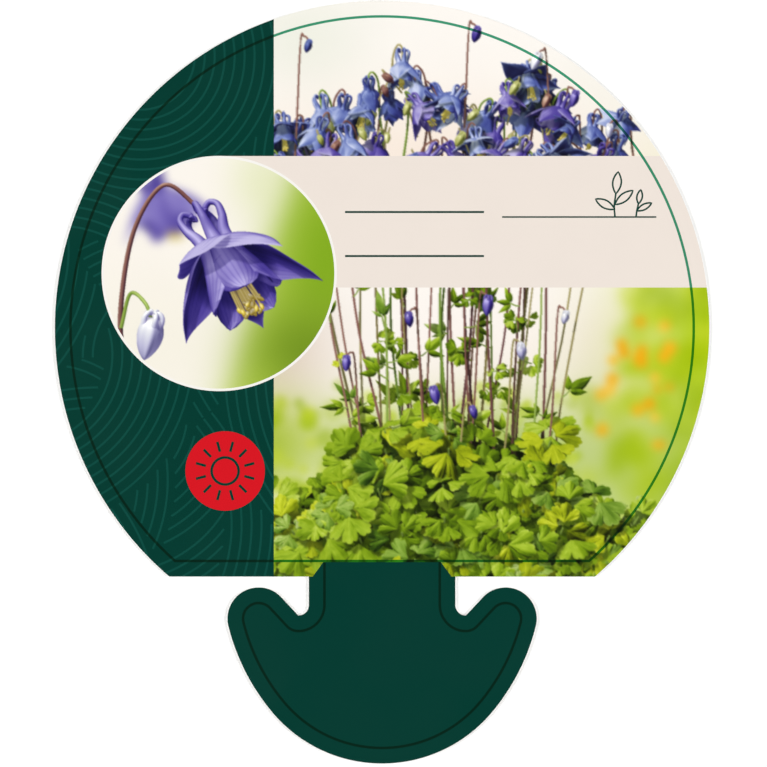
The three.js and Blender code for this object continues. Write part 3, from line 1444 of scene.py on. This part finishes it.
@dataclass(frozen=True)
class FrontArtwork:
    """Everything on the label's face, in print order."""

    die: DieLine
    garden: Proof
    close_up: Proof
    panel_edge: float = -13.9
    band_low: float = 12.15
    band_high: float = 29.03
    round_centre: Pair = (-20.91, 13.95)
    round_radius: float = 15.10
    ring_width: float = 0.32
    emblem_centre: Pair = (-20.15, -11.40)
    emblem_radius: float = 5.10
    sun_line: float = 0.34
    sprig_line: float = 0.22
    key_inset: float = 2.0
    key_width: float = 0.33
    collar_top: float = 7.57  # half the width of the green collar above the neck, at the key line
    collar_drop: float = 0.7  # how far below the shoulders it reaches the neck's full width
    DARK: ClassVar[FlatInk] = FlatInk("#003a30")
    LINES: ClassVar[FlatInk] = FlatInk("#0a4a40")
    CREAM: ClassVar[FlatInk] = FlatInk("#eee3d9")
    RING: ClassVar[FlatInk] = FlatInk("#f7f4ee")
    LETTER: ClassVar[FlatInk] = FlatInk("#123f35")
    RED: ClassVar[FlatInk] = FlatInk("#d61521")
    KEY: ClassVar[ClearInk] = ClearInk("#3a9a78")
    RULES: ClassVar[tuple] = (
        (-4.76, 13.08, 21.84, 0.26), (-4.76, 13.08, 16.19, 0.26), (15.4, 35.2, 21.2, 0.20)
    )  # each one's left end, right end, height and width
    SPRIG_STEMS: ClassVar[tuple] = (
        [(29.9, 21.2), (29.8, 22.6), (30.0, 24.2)], [(32.6, 21.2), (32.7, 22.0), (32.9, 22.9)]
    )
    SPRIG_LEAVES: ClassVar[tuple] = (
        ((29.85, 22.2), (27.4, 23.5), 1.0), ((29.9, 22.8), (32.2, 24.6), 1.0),
        ((30.0, 24.2), (30.3, 27.0), 1.1), ((32.7, 22.0), (34.6, 23.0), 0.7),
        ((32.9, 22.9), (33.2, 24.7), 0.7),
    )  # each one's base, tip and width

    def shapes(self) -> list[Shape]:
        """Puts the face together.

        Returns:
            Every shape, the lowest first.
        """
        beyond = 1.1 * self.die.head_radius
        top = float(self.die.head_centre[1]) + beyond
        above_band = rectangle((self.panel_edge, self.band_high), (beyond, top))
        panel = rectangle((-beyond, -beyond), (self.panel_edge, top))
        band = rectangle((self.round_centre[0], self.band_low), (beyond, self.band_high))
        ring, close_up = (circle(self.round_centre, self.round_radius - w) for w in (0, self.ring_width))
        combed = [stroke(line, CombedPattern.line_width) for line in self.panel_lines()]
        return [
            Shape((self.die.outline(),), self.DARK, Plate.FOOT),
            Shape((self.die.head(),), self.garden, Plate.LOWER_PICTURE),
            Shape((above_band,), self.garden, Plate.UPPER_PICTURE, Plate.LOWER_PICTURE),
            Shape((panel,), self.DARK, Plate.PANEL, Plate.LOWER_PICTURE),
            *(Shape(loops, self.LINES, only=Plate.PANEL) for loops in combed),
            Shape((band,), self.CREAM, Plate.NAME_BAND),
            Shape((ring,), self.RING, Plate.CLOSE_UP),
            Shape((close_up,), self.close_up),
            Shape((self.collar(),), self.DARK, Plate.FOOT),
            Shape((circle(self.emblem_centre, self.emblem_radius),), self.RED),
            *(Shape(loops, self.DARK) for loops in self.sun()),
            *(Shape(loops, self.LETTER) for loops in self.name_band()),
            *(Shape(loops, self.KEY) for loops in self.key_line()),
        ]

    def panel_lines(self) -> Iterator[Array]:
        """Combs the lines of the dark panel. They run on a little under its edges.

        Returns:
            The points along each line.
        """
        die = self.die
        low = np.array([-die.head_radius, die.shoulder])
        high = np.array([self.panel_edge, float(die.head_centre[1]) + die.head_radius])

        def shows(points: Array) -> Array:
            """Which points are on the open panel."""
            on_head = np.linalg.norm(points - die.head_centre, axis=1) < die.head_radius + 0.2
            return on_head & (points[:, 0] < self.panel_edge + 0.1) & (points[:, 1] > die.shoulder - 0.1)

        return CombedPattern().drawn(low, high, shows)

    def collar(self) -> Array:
        """Makes the dark field at the neck's top, which widens to the full neck below the shoulders.

        Returns:
            Its corners.
        """
        neck = self.die.neck_width / 2 + 0.01
        shoulder = self.die.shoulder
        right = [(self.collar_top, shoulder + self.key_inset - self.key_width / 2),
                 (neck, shoulder - self.collar_drop), (neck, shoulder - self.collar_drop - 1)]
        return np.array(right + [(-x, y) for x, y in reversed(right)])

    def sun(self) -> Iterator[Loops]:
        """Draws a simple sun in thin lines, for the plain red disc.

        Yields:
            Each line's outline.
        """
        yield stroke(circle(self.emblem_centre, 0.34 * self.emblem_radius), self.sun_line, closed=True)
        for bearing in np.radians(np.arange(15, 360, 30)):
            ray = self.emblem_radius * np.outer((0.50, 0.76), compass(bearing))
            yield stroke(self.emblem_centre + ray, self.sun_line)

    def name_band(self) -> Iterator[Loops]:
        """Draws ruled lines to write a name on, and a sprig on a thin ground line.

        Yields:
            Each line's outline.
        """
        for left, right, y, width in self.RULES:
            yield (rectangle((left, y - width / 2), (right, y + width / 2)),)
        for stem in self.SPRIG_STEMS:
            yield stroke(curve(stem, np.linspace(0, 1, 9)), self.sprig_line)
        for leaf in self.SPRIG_LEAVES:
            yield stroke(leaf_shape(*leaf), self.sprig_line, closed=True)

    def key_line(self) -> list[Loops]:
        """Draws the thin line inside the cut edge, across the neck and round the foot.

        Returns:
            Its upper and its lower part.
        """
        outer, inner = (self.key_inset + side * self.key_width / 2 for side in (-1, 1))
        return [(self.die.head(outer), self.die.head(inner)),
                (self.die.foot(outer, outer), self.die.foot(inner, outer))]


@dataclass(frozen=True)
class BackArtwork:
    """Plain care signs in one green on the label's white back."""

    die: DieLine
    line_width: float = 0.35
    month_box: float = 4.6
    month_gap: float = 0.7
    month_low: float = 6.0  # the height of the boxes' lower side
    sign_height: float = 24.0
    sign_radius: float = 6.4
    WHITE: ClassVar[FlatInk] = FlatInk("#f6f5f0")
    GREEN: ClassVar[FlatInk] = FlatInk("#0f4f42")
    FLOWERING: ClassVar[tuple[int, ...]] = (4, 5)  # months, from 0
    SIGNS: ClassVar[Row] = (-24.0, -8.0, 8.0, 24.0)  # each one's place across
    RULES: ClassVar[Row] = (-3.0, -10.0, -17.0)  # each one's height
    RULE: ClassVar[Pair] = (28.0, 0.2)  # half its length, and its width

    def shapes(self) -> list[Shape]:
        """Puts the back together, mirrored so that it reads the right way round from behind.

        Returns:
            Every shape, the lowest first.
        """
        half, width = self.RULE
        rules = [(rectangle((-half, y), (half, y + width)),) for y in self.RULES]
        signs = [*self.calendar(), *self.signs(), *rules]
        mirrored = [tuple(loop * [-1, 1] for loop in loops) for loops in signs]
        ground = Shape((self.die.outline(),), self.WHITE, Plate.BACK)
        return [ground, *(Shape(loops, self.GREEN) for loops in mirrored)]

    def line(self, path: Array, closed: bool = False) -> Loops:
        """A line of the signs' own width along a path."""
        return stroke(path, self.line_width, closed)

    def calendar(self) -> Iterator[Loops]:
        """Draws twelve boxes for the months, with the months of flower filled.

        Yields:
            Each box's outline.
        """
        pitch, low = self.month_box + self.month_gap, self.month_low
        for month in range(12):
            left = (month - 6) * pitch + self.month_gap / 2
            box = rectangle((left, low), (left + self.month_box, low + self.month_box))
            yield (box,) if month in self.FLOWERING else self.line(box, closed=True)

    def signs(self) -> Iterator[Loops]:
        """Draws round signs for sun, water, height and planting distance.

        Yields:
            Each line's or shape's outline.
        """
        sun, drop, sprout, apart = (np.array([x, self.sign_height]) for x in self.SIGNS)
        for spot in (sun, drop, sprout, apart):
            yield self.line(circle(spot, self.sign_radius), closed=True)
        yield (circle(sun, 1.9),)
        for bearing in np.radians(np.arange(0, 360, 45)):
            yield self.line(sun + np.outer((2.8, 4.4), compass(bearing)))
        angle = np.linspace(0, 2 * pi, 40, endpoint=False)
        half_width = 2.4 * np.sin(angle) * np.sin(angle / 2) ** 1.5
        yield (drop + np.stack([half_width, 3.6 * np.cos(angle)], -1),)
        yield self.line(sprout + np.array([(0, -4.2), (0, 1.2)]))
        for tip in ((-3.2, 1.6), (3.2, 2.4), (0.2, 4.8)):
            yield (leaf_shape(sprout + [0, -0.8], sprout + tip, 1.7),)
        yield self.line(apart + np.array([(-4.4, -2.4), (4.4, -2.4)]))
        for side in (-1, 1):
            yield self.line(apart + np.array([(3.4, -1.6), (4.4, -2.4), (3.4, -3.2)]) * [side, 1])
            for tip in ((-1.2, 2.4), (0.2, 3.4), (1.4, 2.2)):
                yield (leaf_shape(apart + [side * 2.9, -1.0], apart + [side * 2.9, 0] + tip, 0.9),)


# ---- meshes


def triangulate(points: Array, edges: Array, merge: float = 1e-5) -> tuple[Array, Array]:
    """Cuts the plane into triangles that keep every given edge.

    Args:
        points: The points.
        edges: Pairs of points by number.
        merge: Points nearer than this become one.

    Returns:
        The triangles' corners, with those where edges cross, and three of them by number for each triangle.
    """
    result = delaunay_2d_cdt([Vector(point) for point in points], edges.tolist(), [], 0, merge, False)
    return np.array(result[0], float), np.array(result[2], int)


def halves(a: Array, b: Array, c: Array, d: Array) -> Array:
    """Two triangles for each four-sided face, from its corners in order."""
    return np.concatenate([np.stack([a, b, c], 1), np.stack([a, c, d], 1)])


def open_edges(faces: Array) -> tuple[Array, Array]:
    """The edges that only one triangle has.

    Args:
        faces: Three points by number for each triangle.

    Returns:
        The edges, in the way their triangle runs, and the number of each one's triangle.
    """
    edges = faces[:, [0, 1, 1, 2, 2, 0]].reshape(-1, 2)
    count = int(faces.max()) + 1
    alone = ~np.isin(edges[:, 1] * count + edges[:, 0], edges[:, 0] * count + edges[:, 1])
    return edges[alone], np.flatnonzero(alone) // 3


def placed(name: str, data: bpy.types.ID) -> bpy.types.Object:
    """Puts a mesh, a lamp or a camera in the scene.

    Args:
        name: Its name.
        data: What it shows.

    Returns:
        The object.
    """
    made = bpy.data.objects.new(name, data)
    bpy.context.scene.collection.objects.link(made)
    return made


@dataclass
class Solid:
    """A mesh being made: its points in mm, its triangles, and what each triangle's corners carry."""

    points: Array
    faces: Array
    maps: Array  # a place on the colour map for each corner
    inks: Array | None = None  # a screen colour for each corner

    def make(self, name: str, material: bpy.types.Material) -> None:
        """Makes the piece, which rides on the label and stands for its sheet.

        Args:
            name: The piece's name.
            material: Its finish.
        """
        mesh = bpy.data.meshes.new(name)
        mesh.from_pydata((self.points * MM).tolist(), [], self.faces.tolist())
        layer = mesh.uv_layers.new(name="OFBake")
        layer.uv.foreach_set("vector", self.maps.astype(np.float32).ravel())
        if self.inks is not None:
            light = np.ones((self.inks.size // 3, 4), np.float32)
            light[:, :3] = linear(self.inks.reshape(-1, 3))
            attribute = mesh.attributes.new(PrintFinish.attribute, "FLOAT_COLOR", "CORNER")
            attribute.data.foreach_set("color", light.ravel())
        mesh.materials.append(material)
        piece = placed(name, mesh)
        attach(piece, "root")
        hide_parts(SHEET)
        log.info("%s: %d faces", name, len(self.faces))


@dataclass(frozen=True)
class Coat:
    """A thin layer of ink and varnish over one printed field, closed all round."""

    corners: Array
    faces: Array
    inks: Array
    inner: float  # the height of its side on the sheet, in mm
    outer: float  # the height of its seen side
    map_share: float = 0.94  # how much of the colour map the seen side takes
    map_spill: float = 0.2  # mm that its rim reaches past the seen side on that map

    def solid(self) -> Solid:
        """Builds the layer: the seen side, a rim round it, and a plain inner side.

        Returns:
            The closed layer.
        """
        used, faces = np.unique(self.faces, return_inverse=True)
        faces = faces.reshape(-1, 3)
        seen = self.corners[used]
        rim, owners = open_edges(faces)
        rim_points, ends = np.unique(rim, return_inverse=True)
        ends = ends.reshape(-1, 2)
        flat = seen[rim_points]
        corners, under = triangulate(flat, ends)
        middles = corners[under].mean(1)
        under = under[inside(flat[ends[:, 0]], flat[ends[:, 1]], middles)][:, ::-1]
        if len(corners) != len(flat):
            raise ValueError("the rim crosses itself")
        first = len(seen)
        start, end = rim.T
        low_start, low_end = first + ends.T
        walls = halves(end, start, low_start, low_end)
        points = np.concatenate([np.column_stack([seen, np.full(first, self.outer)]),
                                 np.column_stack([flat, np.full(len(flat), self.inner)])])
        every = np.concatenate([faces, walls, first + under])
        rim_ink = self.inks[owners].mean(1)[:, None].repeat(3, 1)
        plain = np.broadcast_to(tone_of(WhitePlastic.tone), (len(under), 3, 3))
        inks = np.concatenate([self.inks, rim_ink, rim_ink, plain])
        maps = self._maps(seen, faces, start, end, flat, under)
        if self.outer < self.inner:
            every, inks, maps = every[:, ::-1], inks[:, ::-1], maps[:, ::-1]
        return Solid(points, every, maps, inks)

    def _maps(self, seen: Array, faces: Array, start: Array, end: Array, flat: Array, under: Array) -> Array:
        """Lays the layer out on its colour map: the seen side large, the inner side small above it.

        Args:
            seen: The seen side's points.
            faces: Its triangles.
            start: The starts of its rim's edges, by number.
            end: Their ends.
            flat: The inner side's points.
            under: Its triangles.

        Returns:
            A place on the map for each corner.
        """
        low = seen.min(0) - self.map_spill
        size = float((seen.max(0) + self.map_spill - low).max())
        place = self.map_share * (seen - low) / size
        out = self.map_share * self.map_spill / size * leftwards(unit(seen[start] - seen[end]))
        walls = halves(place[end], place[start], place[start] + out, place[end] + out)
        small = (1 - self.map_share) * 0.8
        inner = small * (flat - low) / size + [0, 1 - small]
        return np.concatenate([place[faces], walls, inner[under]])


@dataclass(frozen=True)
class Press:
    """Prints one side of the label: cuts it into triangles along every printed edge, and inks them."""

    shapes: list[Shape]
    dots: Array  # more points to cut it at
    inner: float
    outer: float
    merge: float = 0.004  # mm
    longest_edge: float = 0.161  # mm, just over the step of an arc
    decimals: int = 6  # of a mm, so that points at one place are one point

    def seen_edges(self) -> tuple[Array, Array]:
        """Cuts every printed edge into steps and drops those that a later shape hides.

        The first shape is the cut edge, and it stays whole.

        Returns:
            Where the steps start and end.
        """
        parts = [shape.short_edges(self.longest_edge) for shape in self.shapes]
        starts, ends = (np.concatenate(part) for part in zip(*parts))
        ranks = np.repeat(np.arange(len(parts)), [len(part[0]) for part in parts])
        kept = np.ones(len(starts), bool)
        for rank, shape in enumerate(self.shapes):
            if shape.hides:
                below = np.flatnonzero(kept & (ranks > 0) & (ranks < rank))
                hidden = within(shape.loops, starts[below]) & within(shape.loops, ends[below])
                kept[below[hidden]] = False
        return starts[kept], ends[kept]

    def run(self) -> Iterator[tuple[Plate, Solid]]:
        """Prints every field.

        Yields:
            Each field and its coat.
        """
        starts, ends = self.seen_edges()
        every = np.round(np.concatenate([starts, ends, self.dots]), self.decimals)
        points, number = np.unique(every, axis=0, return_inverse=True)
        edges = number.ravel()[: 2 * len(starts)].reshape(2, -1).T
        corners, faces = triangulate(points, edges, self.merge)
        faces = faces[within(self.shapes[0].loops, corners[faces].mean(1))]
        spots = corners[faces]
        middles = spots.mean(1)
        plates = np.zeros(len(faces), int)
        inks = np.zeros((len(faces), 3, 3))
        order = list(Plate)
        for shape in self.shapes:
            held = within(shape.loops, middles)
            if shape.only:
                held &= plates == order.index(shape.only)
            inks[held] = shape.ink.ink_at(spots[held], inks[held])
            if shape.plate:
                plates[held] = order.index(shape.plate)
        for plate in order:
            own = plates == order.index(plate)
            if own.any():
                yield plate, Coat(corners, faces[own], inks[own], self.inner, self.outer).solid()


@dataclass(frozen=True)
class CutSheet:
    """The white plastic between the two coats, with its die-cut edge slightly rolled."""

    die: DieLine
    low: float
    high: float
    roll: float = 0.02

    def solid(self) -> Solid:
        """Builds the sheet as rings of points from its underside up, closed by two flat faces.

        Returns:
            The closed sheet.
        """
        loop = self.die.outline()
        inner = shrunk(loop, self.roll)
        rings = ((inner, self.low), (loop, self.low + self.roll), (loop, self.high - self.roll),
                 (inner, self.high))
        count = len(loop)
        points = np.concatenate([np.column_stack([ring, np.full(count, height)]) for ring, height in rings])
        here = np.arange(count)
        after = np.roll(here, -1)
        corners, cap = triangulate(inner, np.stack([here, after], -1))
        cap = cap[within((inner,), corners[cap].mean(1))]
        faces = [cap[:, ::-1], cap + 3 * count]
        for first in count * np.arange(3):
            faces.append(halves(first + here, first + after, first + after + count, first + here + count))
        faces = np.concatenate(faces)
        return Solid(points, faces, self._maps(points, faces, len(cap), count))

    def _maps(self, points: Array, faces: Array, caps: int, count: int) -> Array:
        """Lays the sheet out on its colour map: the flat faces side by side, the edge in strips above.

        Args:
            points: Its points.
            faces: Its triangles, the flat faces first.
            caps: How many triangles a flat face has.
            count: How many points a ring has.

        Returns:
            A place on the map for each corner.
        """
        size = float(np.ptp(points[:, :2], axis=0).max())
        place = (points[:, :2] - points[:, :2].min(0)) / size * 0.48
        maps = place[faces]
        maps[:caps, :, 0] += 0.5
        ring, step = np.divmod(faces[2 * caps :], count)
        closing = (step == count - 1).any(1) & (step == 0).any(1)
        step = np.where(closing[:, None] & (step == 0), count, step)
        maps[2 * caps :] = np.stack([step / count * 0.98 + 0.01, 0.6 + 0.1 * ring], -1)
        return maps


# ---- finishes


def feed(tree: Tree, socket: Socket, value: object) -> None:
    """Links an output to an input, or sets the input to a plain value.

    Args:
        tree: The node tree.
        socket: The input.
        value: The output or the value.
    """
    if isinstance(value, Socket):
        tree.links.new(value, socket)
    else:
        socket.default_value = value


def node(tree: Tree, kind: str, operation: str = "", **sockets: object) -> bpy.types.Node:
    """Adds a node.

    Args:
        tree: The node tree.
        kind: The node's type.
        operation: What it works out, if it can do several things.
        sockets: A value or an output socket for each named input.

    Returns:
        The node.
    """
    made = tree.nodes.new(kind)
    if operation:
        made.operation = operation
    for name, value in sockets.items():
        feed(tree, made.inputs[name.replace("_", " ")], value)
    return made


def math_node(tree: Tree, operation: str, first: object, second: object) -> Socket:
    """Adds a sum or product.

    Args:
        tree: The node tree.
        operation: What it works out.
        first: A value or an output.
        second: Another.

    Returns:
        Its result.
    """
    made = node(tree, "ShaderNodeMath", operation)
    feed(tree, made.inputs[0], first)
    feed(tree, made.inputs[1], second)
    return made.outputs[0]


def scaled(tree: Tree, colour: Socket, factor: object) -> Socket:
    """Multiplies a colour by a number or an output."""
    return node(tree, "ShaderNodeVectorMath", "SCALE", Vector=colour, Scale=factor).outputs["Vector"]


def noise(tree: Tree, scale: object, detail: float, distortion: float = 0.0) -> Socket:
    """Adds a noise over the object's own coordinates.

    Args:
        tree: The node tree.
        scale: How fine it is.
        detail: How many finer layers it has.
        distortion: How far it is warped.

    Returns:
        The noise.
    """
    place = tree.nodes.new("ShaderNodeTexCoord").outputs["Object"]
    made = node(tree, "ShaderNodeTexNoise", Vector=place, Scale=scale, Detail=detail, Distortion=distortion)
    return made.outputs["Fac"]


def cleared_tree(owner: bpy.types.Material | bpy.types.World) -> Tree:
    """Turns a material or a world to nodes.

    Args:
        owner: The material or world.

    Returns:
        Its node tree, with no node in it.
    """
    owner.use_nodes = True
    owner.node_tree.nodes.clear()
    return owner.node_tree


def surface_grain() -> Tree:
    """The group that every sheet finish uses: uneven ink, uneven gloss and a fine skin.

    Returns:
        A node group that takes a colour, a roughness, how far each strays and the skin's scale, and puts out
        a colour, a roughness and a height.
    """
    group = bpy.data.node_groups.new("surface_grain", "ShaderNodeTree")
    for way, names in (("INPUT", ("Colour", "Colour Stray", "Gloss", "Gloss Stray", "Skin Scale")),
                       ("OUTPUT", ("Colour", "Roughness", "Height"))):
        for name in names:
            kind = "NodeSocketColor" if name == "Colour" else "NodeSocketFloat"
            group.interface.new_socket(name, in_out=way, socket_type=kind)
    given = group.nodes.new("NodeGroupInput").outputs

    def strayed(middle: object, cloud: Socket, amount: Socket) -> Socket:
        """A value that strays to both sides of its middle as the noise does."""
        stray = math_node(group, "MULTIPLY", math_node(group, "SUBTRACT", cloud, 0.5), amount)
        return math_node(group, "ADD", middle, stray)

    bright = strayed(1.0, noise(group, 180.0, 3.0), given["Colour Stray"])
    rough = strayed(given["Gloss"], noise(group, 70.0, 4.0, 0.6), given["Gloss Stray"])
    node(group, "NodeGroupOutput", Colour=scaled(group, given["Colour"], bright), Roughness=rough,
         Height=noise(group, given["Skin Scale"], 2.0))
    return group


@dataclass(frozen=True)
class Finish(ABC):
    """A finish of the label: what it is called, how rough it is, and how its skin looks close up."""

    name: str
    roughness: float
    roughness_stray: float = 0.10
    colour_stray: float = 0.03
    skin_scale: float = 1500.0
    skin_depth: float = 0.004  # mm
    specular: float = 0.5

    @abstractmethod
    def colour(self, tree: Tree) -> object:
        """The colour, as a value or as a socket."""

    def material(self, grain: Tree) -> bpy.types.Material:
        """Makes the material with the shared grain in it.

        Args:
            grain: The grain's node group.

        Returns:
            The material.
        """
        material = bpy.data.materials.new(self.name)
        tree = cleared_tree(material)
        skin = tree.nodes.new("ShaderNodeGroup")
        skin.node_tree = grain
        values = (("Colour", self.colour(tree)), ("Colour Stray", self.colour_stray),
                  ("Gloss", self.roughness), ("Gloss Stray", self.roughness_stray),
                  ("Skin Scale", self.skin_scale))
        for name, value in values:
            feed(tree, skin.inputs[name], value)
        bump = node(tree, "ShaderNodeBump", Strength=0.5, Distance=self.skin_depth * MM,
                    Height=skin.outputs["Height"])
        shader = node(tree, "ShaderNodeBsdfPrincipled", Base_Color=skin.outputs["Colour"],
                      Roughness=skin.outputs["Roughness"], Normal=bump.outputs["Normal"],
                      Specular_IOR_Level=self.specular)
        node(tree, "ShaderNodeOutputMaterial", Surface=shader.outputs["BSDF"])
        return material


@dataclass(frozen=True)
class PrintFinish(Finish):
    """Ink under a satin varnish. The ink's colours are on the mesh."""

    attribute: ClassVar[str] = "print_ink"
    reflectance: float = 0.92  # how much light the whitest print sends back

    def colour(self, tree: Tree) -> Socket:
        """Reads the mesh's own colours, a little darkened.

        Args:
            tree: The node tree.

        Returns:
            The colour.
        """
        ink = tree.nodes.new("ShaderNodeAttribute")
        ink.attribute_name = self.attribute
        return scaled(tree, ink.outputs["Color"], self.reflectance)


@dataclass(frozen=True)
class WhitePlastic(Finish):
    """The white sheet itself, seen at the cut edge."""

    tone: ClassVar[str] = "#f2f1ec"

    def colour(self, tree: Tree) -> Row:
        """Plain white."""
        return (*linear(tone_of(self.tone)), 1.0)


# ---- floor, light and camera


@dataclass(frozen=True)
class Studio:
    """A pale floor, two soft lights to the sides, and a camera that looks straight down."""

    floor_half: float = 3.0
    floor_gap: float = 0.00001  # m below the label's back
    floor_tone: str = "#fefefd"
    floor_shade: float = 0.985  # how light the darker fibres are beside it
    view_width: float = 98.45  # mm across the frame at the label's face
    view_centre: Pair = (0.18, -0.17)
    camera_height: float = 0.5
    sensor: float = 36.0
    lamp_place: Pair = (0.9, 0.8)  # m to the side and up
    lamp_size: float = 0.5
    lamp_power: float = 7.0
    sky_light: float = 1.02
    SKY: ClassVar[tuple] = (
        (0.30, 0.50, 0.2), (0.88, 0.70, 0.0)
    )  # the heights, as sines, where the sky is darkest and where it is light, and the darkest share

    def build(self) -> None:
        """Makes everything round the label."""
        self.floor()
        self.world()
        for side in (-1, 1):
            self.lamp(side)
        self.camera()
        bpy.context.scene.view_settings.view_transform = "Standard"

    def floor(self) -> None:
        """A wide sheet of pale card under the label."""
        half = self.floor_half
        mesh = bpy.data.meshes.new("floor")
        corners = np.insert(rectangle((-half, -half), (half, half)), 2, 0, axis=1)
        mesh.from_pydata(corners.tolist(), [], [(0, 1, 2, 3)])
        material = bpy.data.materials.new("pale_card")
        tree = cleared_tree(material)
        shade = tree.nodes.new("ShaderNodeMix")
        shade.data_type = "RGBA"
        tone = linear(tone_of(self.floor_tone))
        for name, value in (("Factor", noise(tree, 900.0, 3.0)), ("A", (*tone, 1)),
                            ("B", (*(tone * self.floor_shade), 1))):
            feed(tree, shade.inputs[name], value)
        shader = node(tree, "ShaderNodeBsdfPrincipled", Base_Color=shade.outputs["Result"], Roughness=0.85,
                      Specular_IOR_Level=0.2)
        node(tree, "ShaderNodeOutputMaterial", Surface=shader.outputs["BSDF"])
        mesh.materials.append(material)
        floor = placed("floor", mesh)
        floor.location.z = SHEET_LOW.z - self.floor_gap

    def world(self) -> None:
        """Soft light from half-way up. Its dark ceiling and rim keep the varnish deep from any side."""
        world = bpy.data.worlds.new("studio")
        bpy.context.scene.world = world
        tree = cleared_tree(world)
        place = tree.nodes.new("ShaderNodeTexCoord").outputs["Generated"]
        up = node(tree, "ShaderNodeSeparateXYZ", Vector=place).outputs["Z"]
        strength = self.sky_light
        for dark, light, least in self.SKY:
            part = node(tree, "ShaderNodeMapRange", Value=up, From_Min=dark, From_Max=light, To_Min=least)
            strength = math_node(tree, "MULTIPLY", part.outputs[0], strength)
        background = node(tree, "ShaderNodeBackground", Color=(1, 1, 1, 1), Strength=strength)
        node(tree, "ShaderNodeOutputWorld", Surface=background.outputs[0])

    def lamp(self, side: int) -> None:
        """Hangs a large soft lamp to one side, aimed at the label.

        Args:
            side: -1 for the left and 1 for the right.
        """
        data = bpy.data.lights.new("lamp", "AREA")
        data.shape = "DISK"
        data.size = self.lamp_size
        data.energy = self.lamp_power
        aside, up = self.lamp_place
        lamp = placed("lamp", data)
        lamp.location = (side * aside, 0, up)
        lamp.rotation_euler = (-Vector(lamp.location)).to_track_quat("-Z", "Y").to_euler()

    def camera(self) -> None:
        """A long lens straight above."""
        data = bpy.data.cameras.new("camera")
        data.sensor_width = self.sensor
        data.lens = self.sensor * self.camera_height / (self.view_width * MM)
        x, y = self.view_centre
        camera = placed("camera", data)
        camera.location = (x * MM, y * MM, SHEET_HIGH.z + self.camera_height)
        bpy.context.scene.camera = camera


# ---- the label


@dataclass(frozen=True)
class PlantLabel:
    """The whole label: two printed sides round a white sheet."""

    die: DieLine = DieLine()
    coat: float = 0.015  # mm of ink and varnish on each side
    fine_pitch: float = 0.06  # mm between the garden picture's samples
    quick_pitch: float = 0.12
    garden_low: Pair = (-14.2, -25.4)
    garden_high: Pair = (42.2, 49.2)
    garden_seed: int = 5
    close_up_share: float = 0.75  # of that pitch, between the close-up's samples
    close_up_spill: float = 0.3  # mm that the close-up is drawn past its ring
    close_up_seed: int = 3
    lattice: float = 1.6  # mm between the points of the plain fields
    lattice_half: Pair = (42.0, 49.0)
    lattice_inset: float = 0.3  # mm from the cut edge to the nearest of those points

    def build(self) -> None:
        """Makes every piece."""
        grain = surface_grain()
        low, high = SHEET_LOW.z / MM, SHEET_HIGH.z / MM
        varnish = PrintFinish("satin_varnished_print", 0.30, specular=0.3).material(grain)
        matt = PrintFinish("matt_back_print", 0.48, skin_depth=0.006).material(grain)
        white = WhitePlastic("white_plastic", 0.42, colour_stray=0.04).material(grain)
        for plate, solid in self.front(high - self.coat, high).run():
            solid.make(plate.value, varnish)
        back = Press(BackArtwork(self.die).shapes(), self.plain_dots(), low + self.coat, low)
        for plate, solid in back.run():
            solid.make(plate.value, matt)
        CutSheet(self.die, low + self.coat, high - self.coat).solid().make("white_sheet", white)

    def front(self, inner: float, outer: float) -> Press:
        """Draws the pictures and sets up the press for the face.

        Args:
            inner: The height of the coat's lower side, in mm.
            outer: The height of its face.

        Returns:
            The press.
        """
        pitch = self.fine_pitch
        garden = Canvas(np.array(self.garden_low), np.array(self.garden_high), pitch)
        centre, half = np.array(FrontArtwork.round_centre), FrontArtwork.round_radius + self.close_up_spill
        close_up = Canvas(centre - half, centre + half, self.close_up_share * pitch)
        pictures = (GardenPicture(garden, np.random.default_rng(self.garden_seed)),
                    CloseUpPicture(close_up, np.random.default_rng(self.close_up_seed)))
        artwork = FrontArtwork(self.die, *(picture.draw() for picture in pictures))
        dots = np.concatenate([self.picture_dots(artwork), self.plain_dots()])
        return Press(artwork.shapes(), dots, inner, outer)

    def picture_dots(self, artwork: FrontArtwork) -> Array:
        """Finds the points that hold the two pictures, where they are seen.

        Args:
            artwork: The face's artwork.

        Returns:
            The points.
        """
        garden, close_up = artwork.garden.dots(), artwork.close_up.dots()
        middle = np.array(artwork.round_centre)
        in_round = np.linalg.norm(garden - middle, axis=1) < artwork.round_radius
        in_band = (garden[:, 1] > artwork.band_low) & (garden[:, 1] < artwork.band_high)
        hidden = in_round | in_band | (garden[:, 0] <= artwork.panel_edge)
        shown = within((self.die.head(),), garden) & ~hidden
        reach = np.linalg.norm(close_up - middle, axis=1)
        return np.concatenate([garden[shown], close_up[reach < artwork.round_radius - artwork.ring_width]])

    def plain_dots(self) -> Array:
        """An even lattice of points over the whole label."""
        dots = lattice(*np.outer((-1, 1), self.lattice_half), self.lattice)
        return dots[within((shrunk(self.die.outline(), self.lattice_inset),), dots)]


def main() -> None:
    """Builds the label and the studio, and reports each piece."""
    logging.basicConfig(level=logging.INFO, format="%(name)s: %(message)s")
    PlantLabel().build()
    Studio().build()


if __name__ == "__main__":
    main()
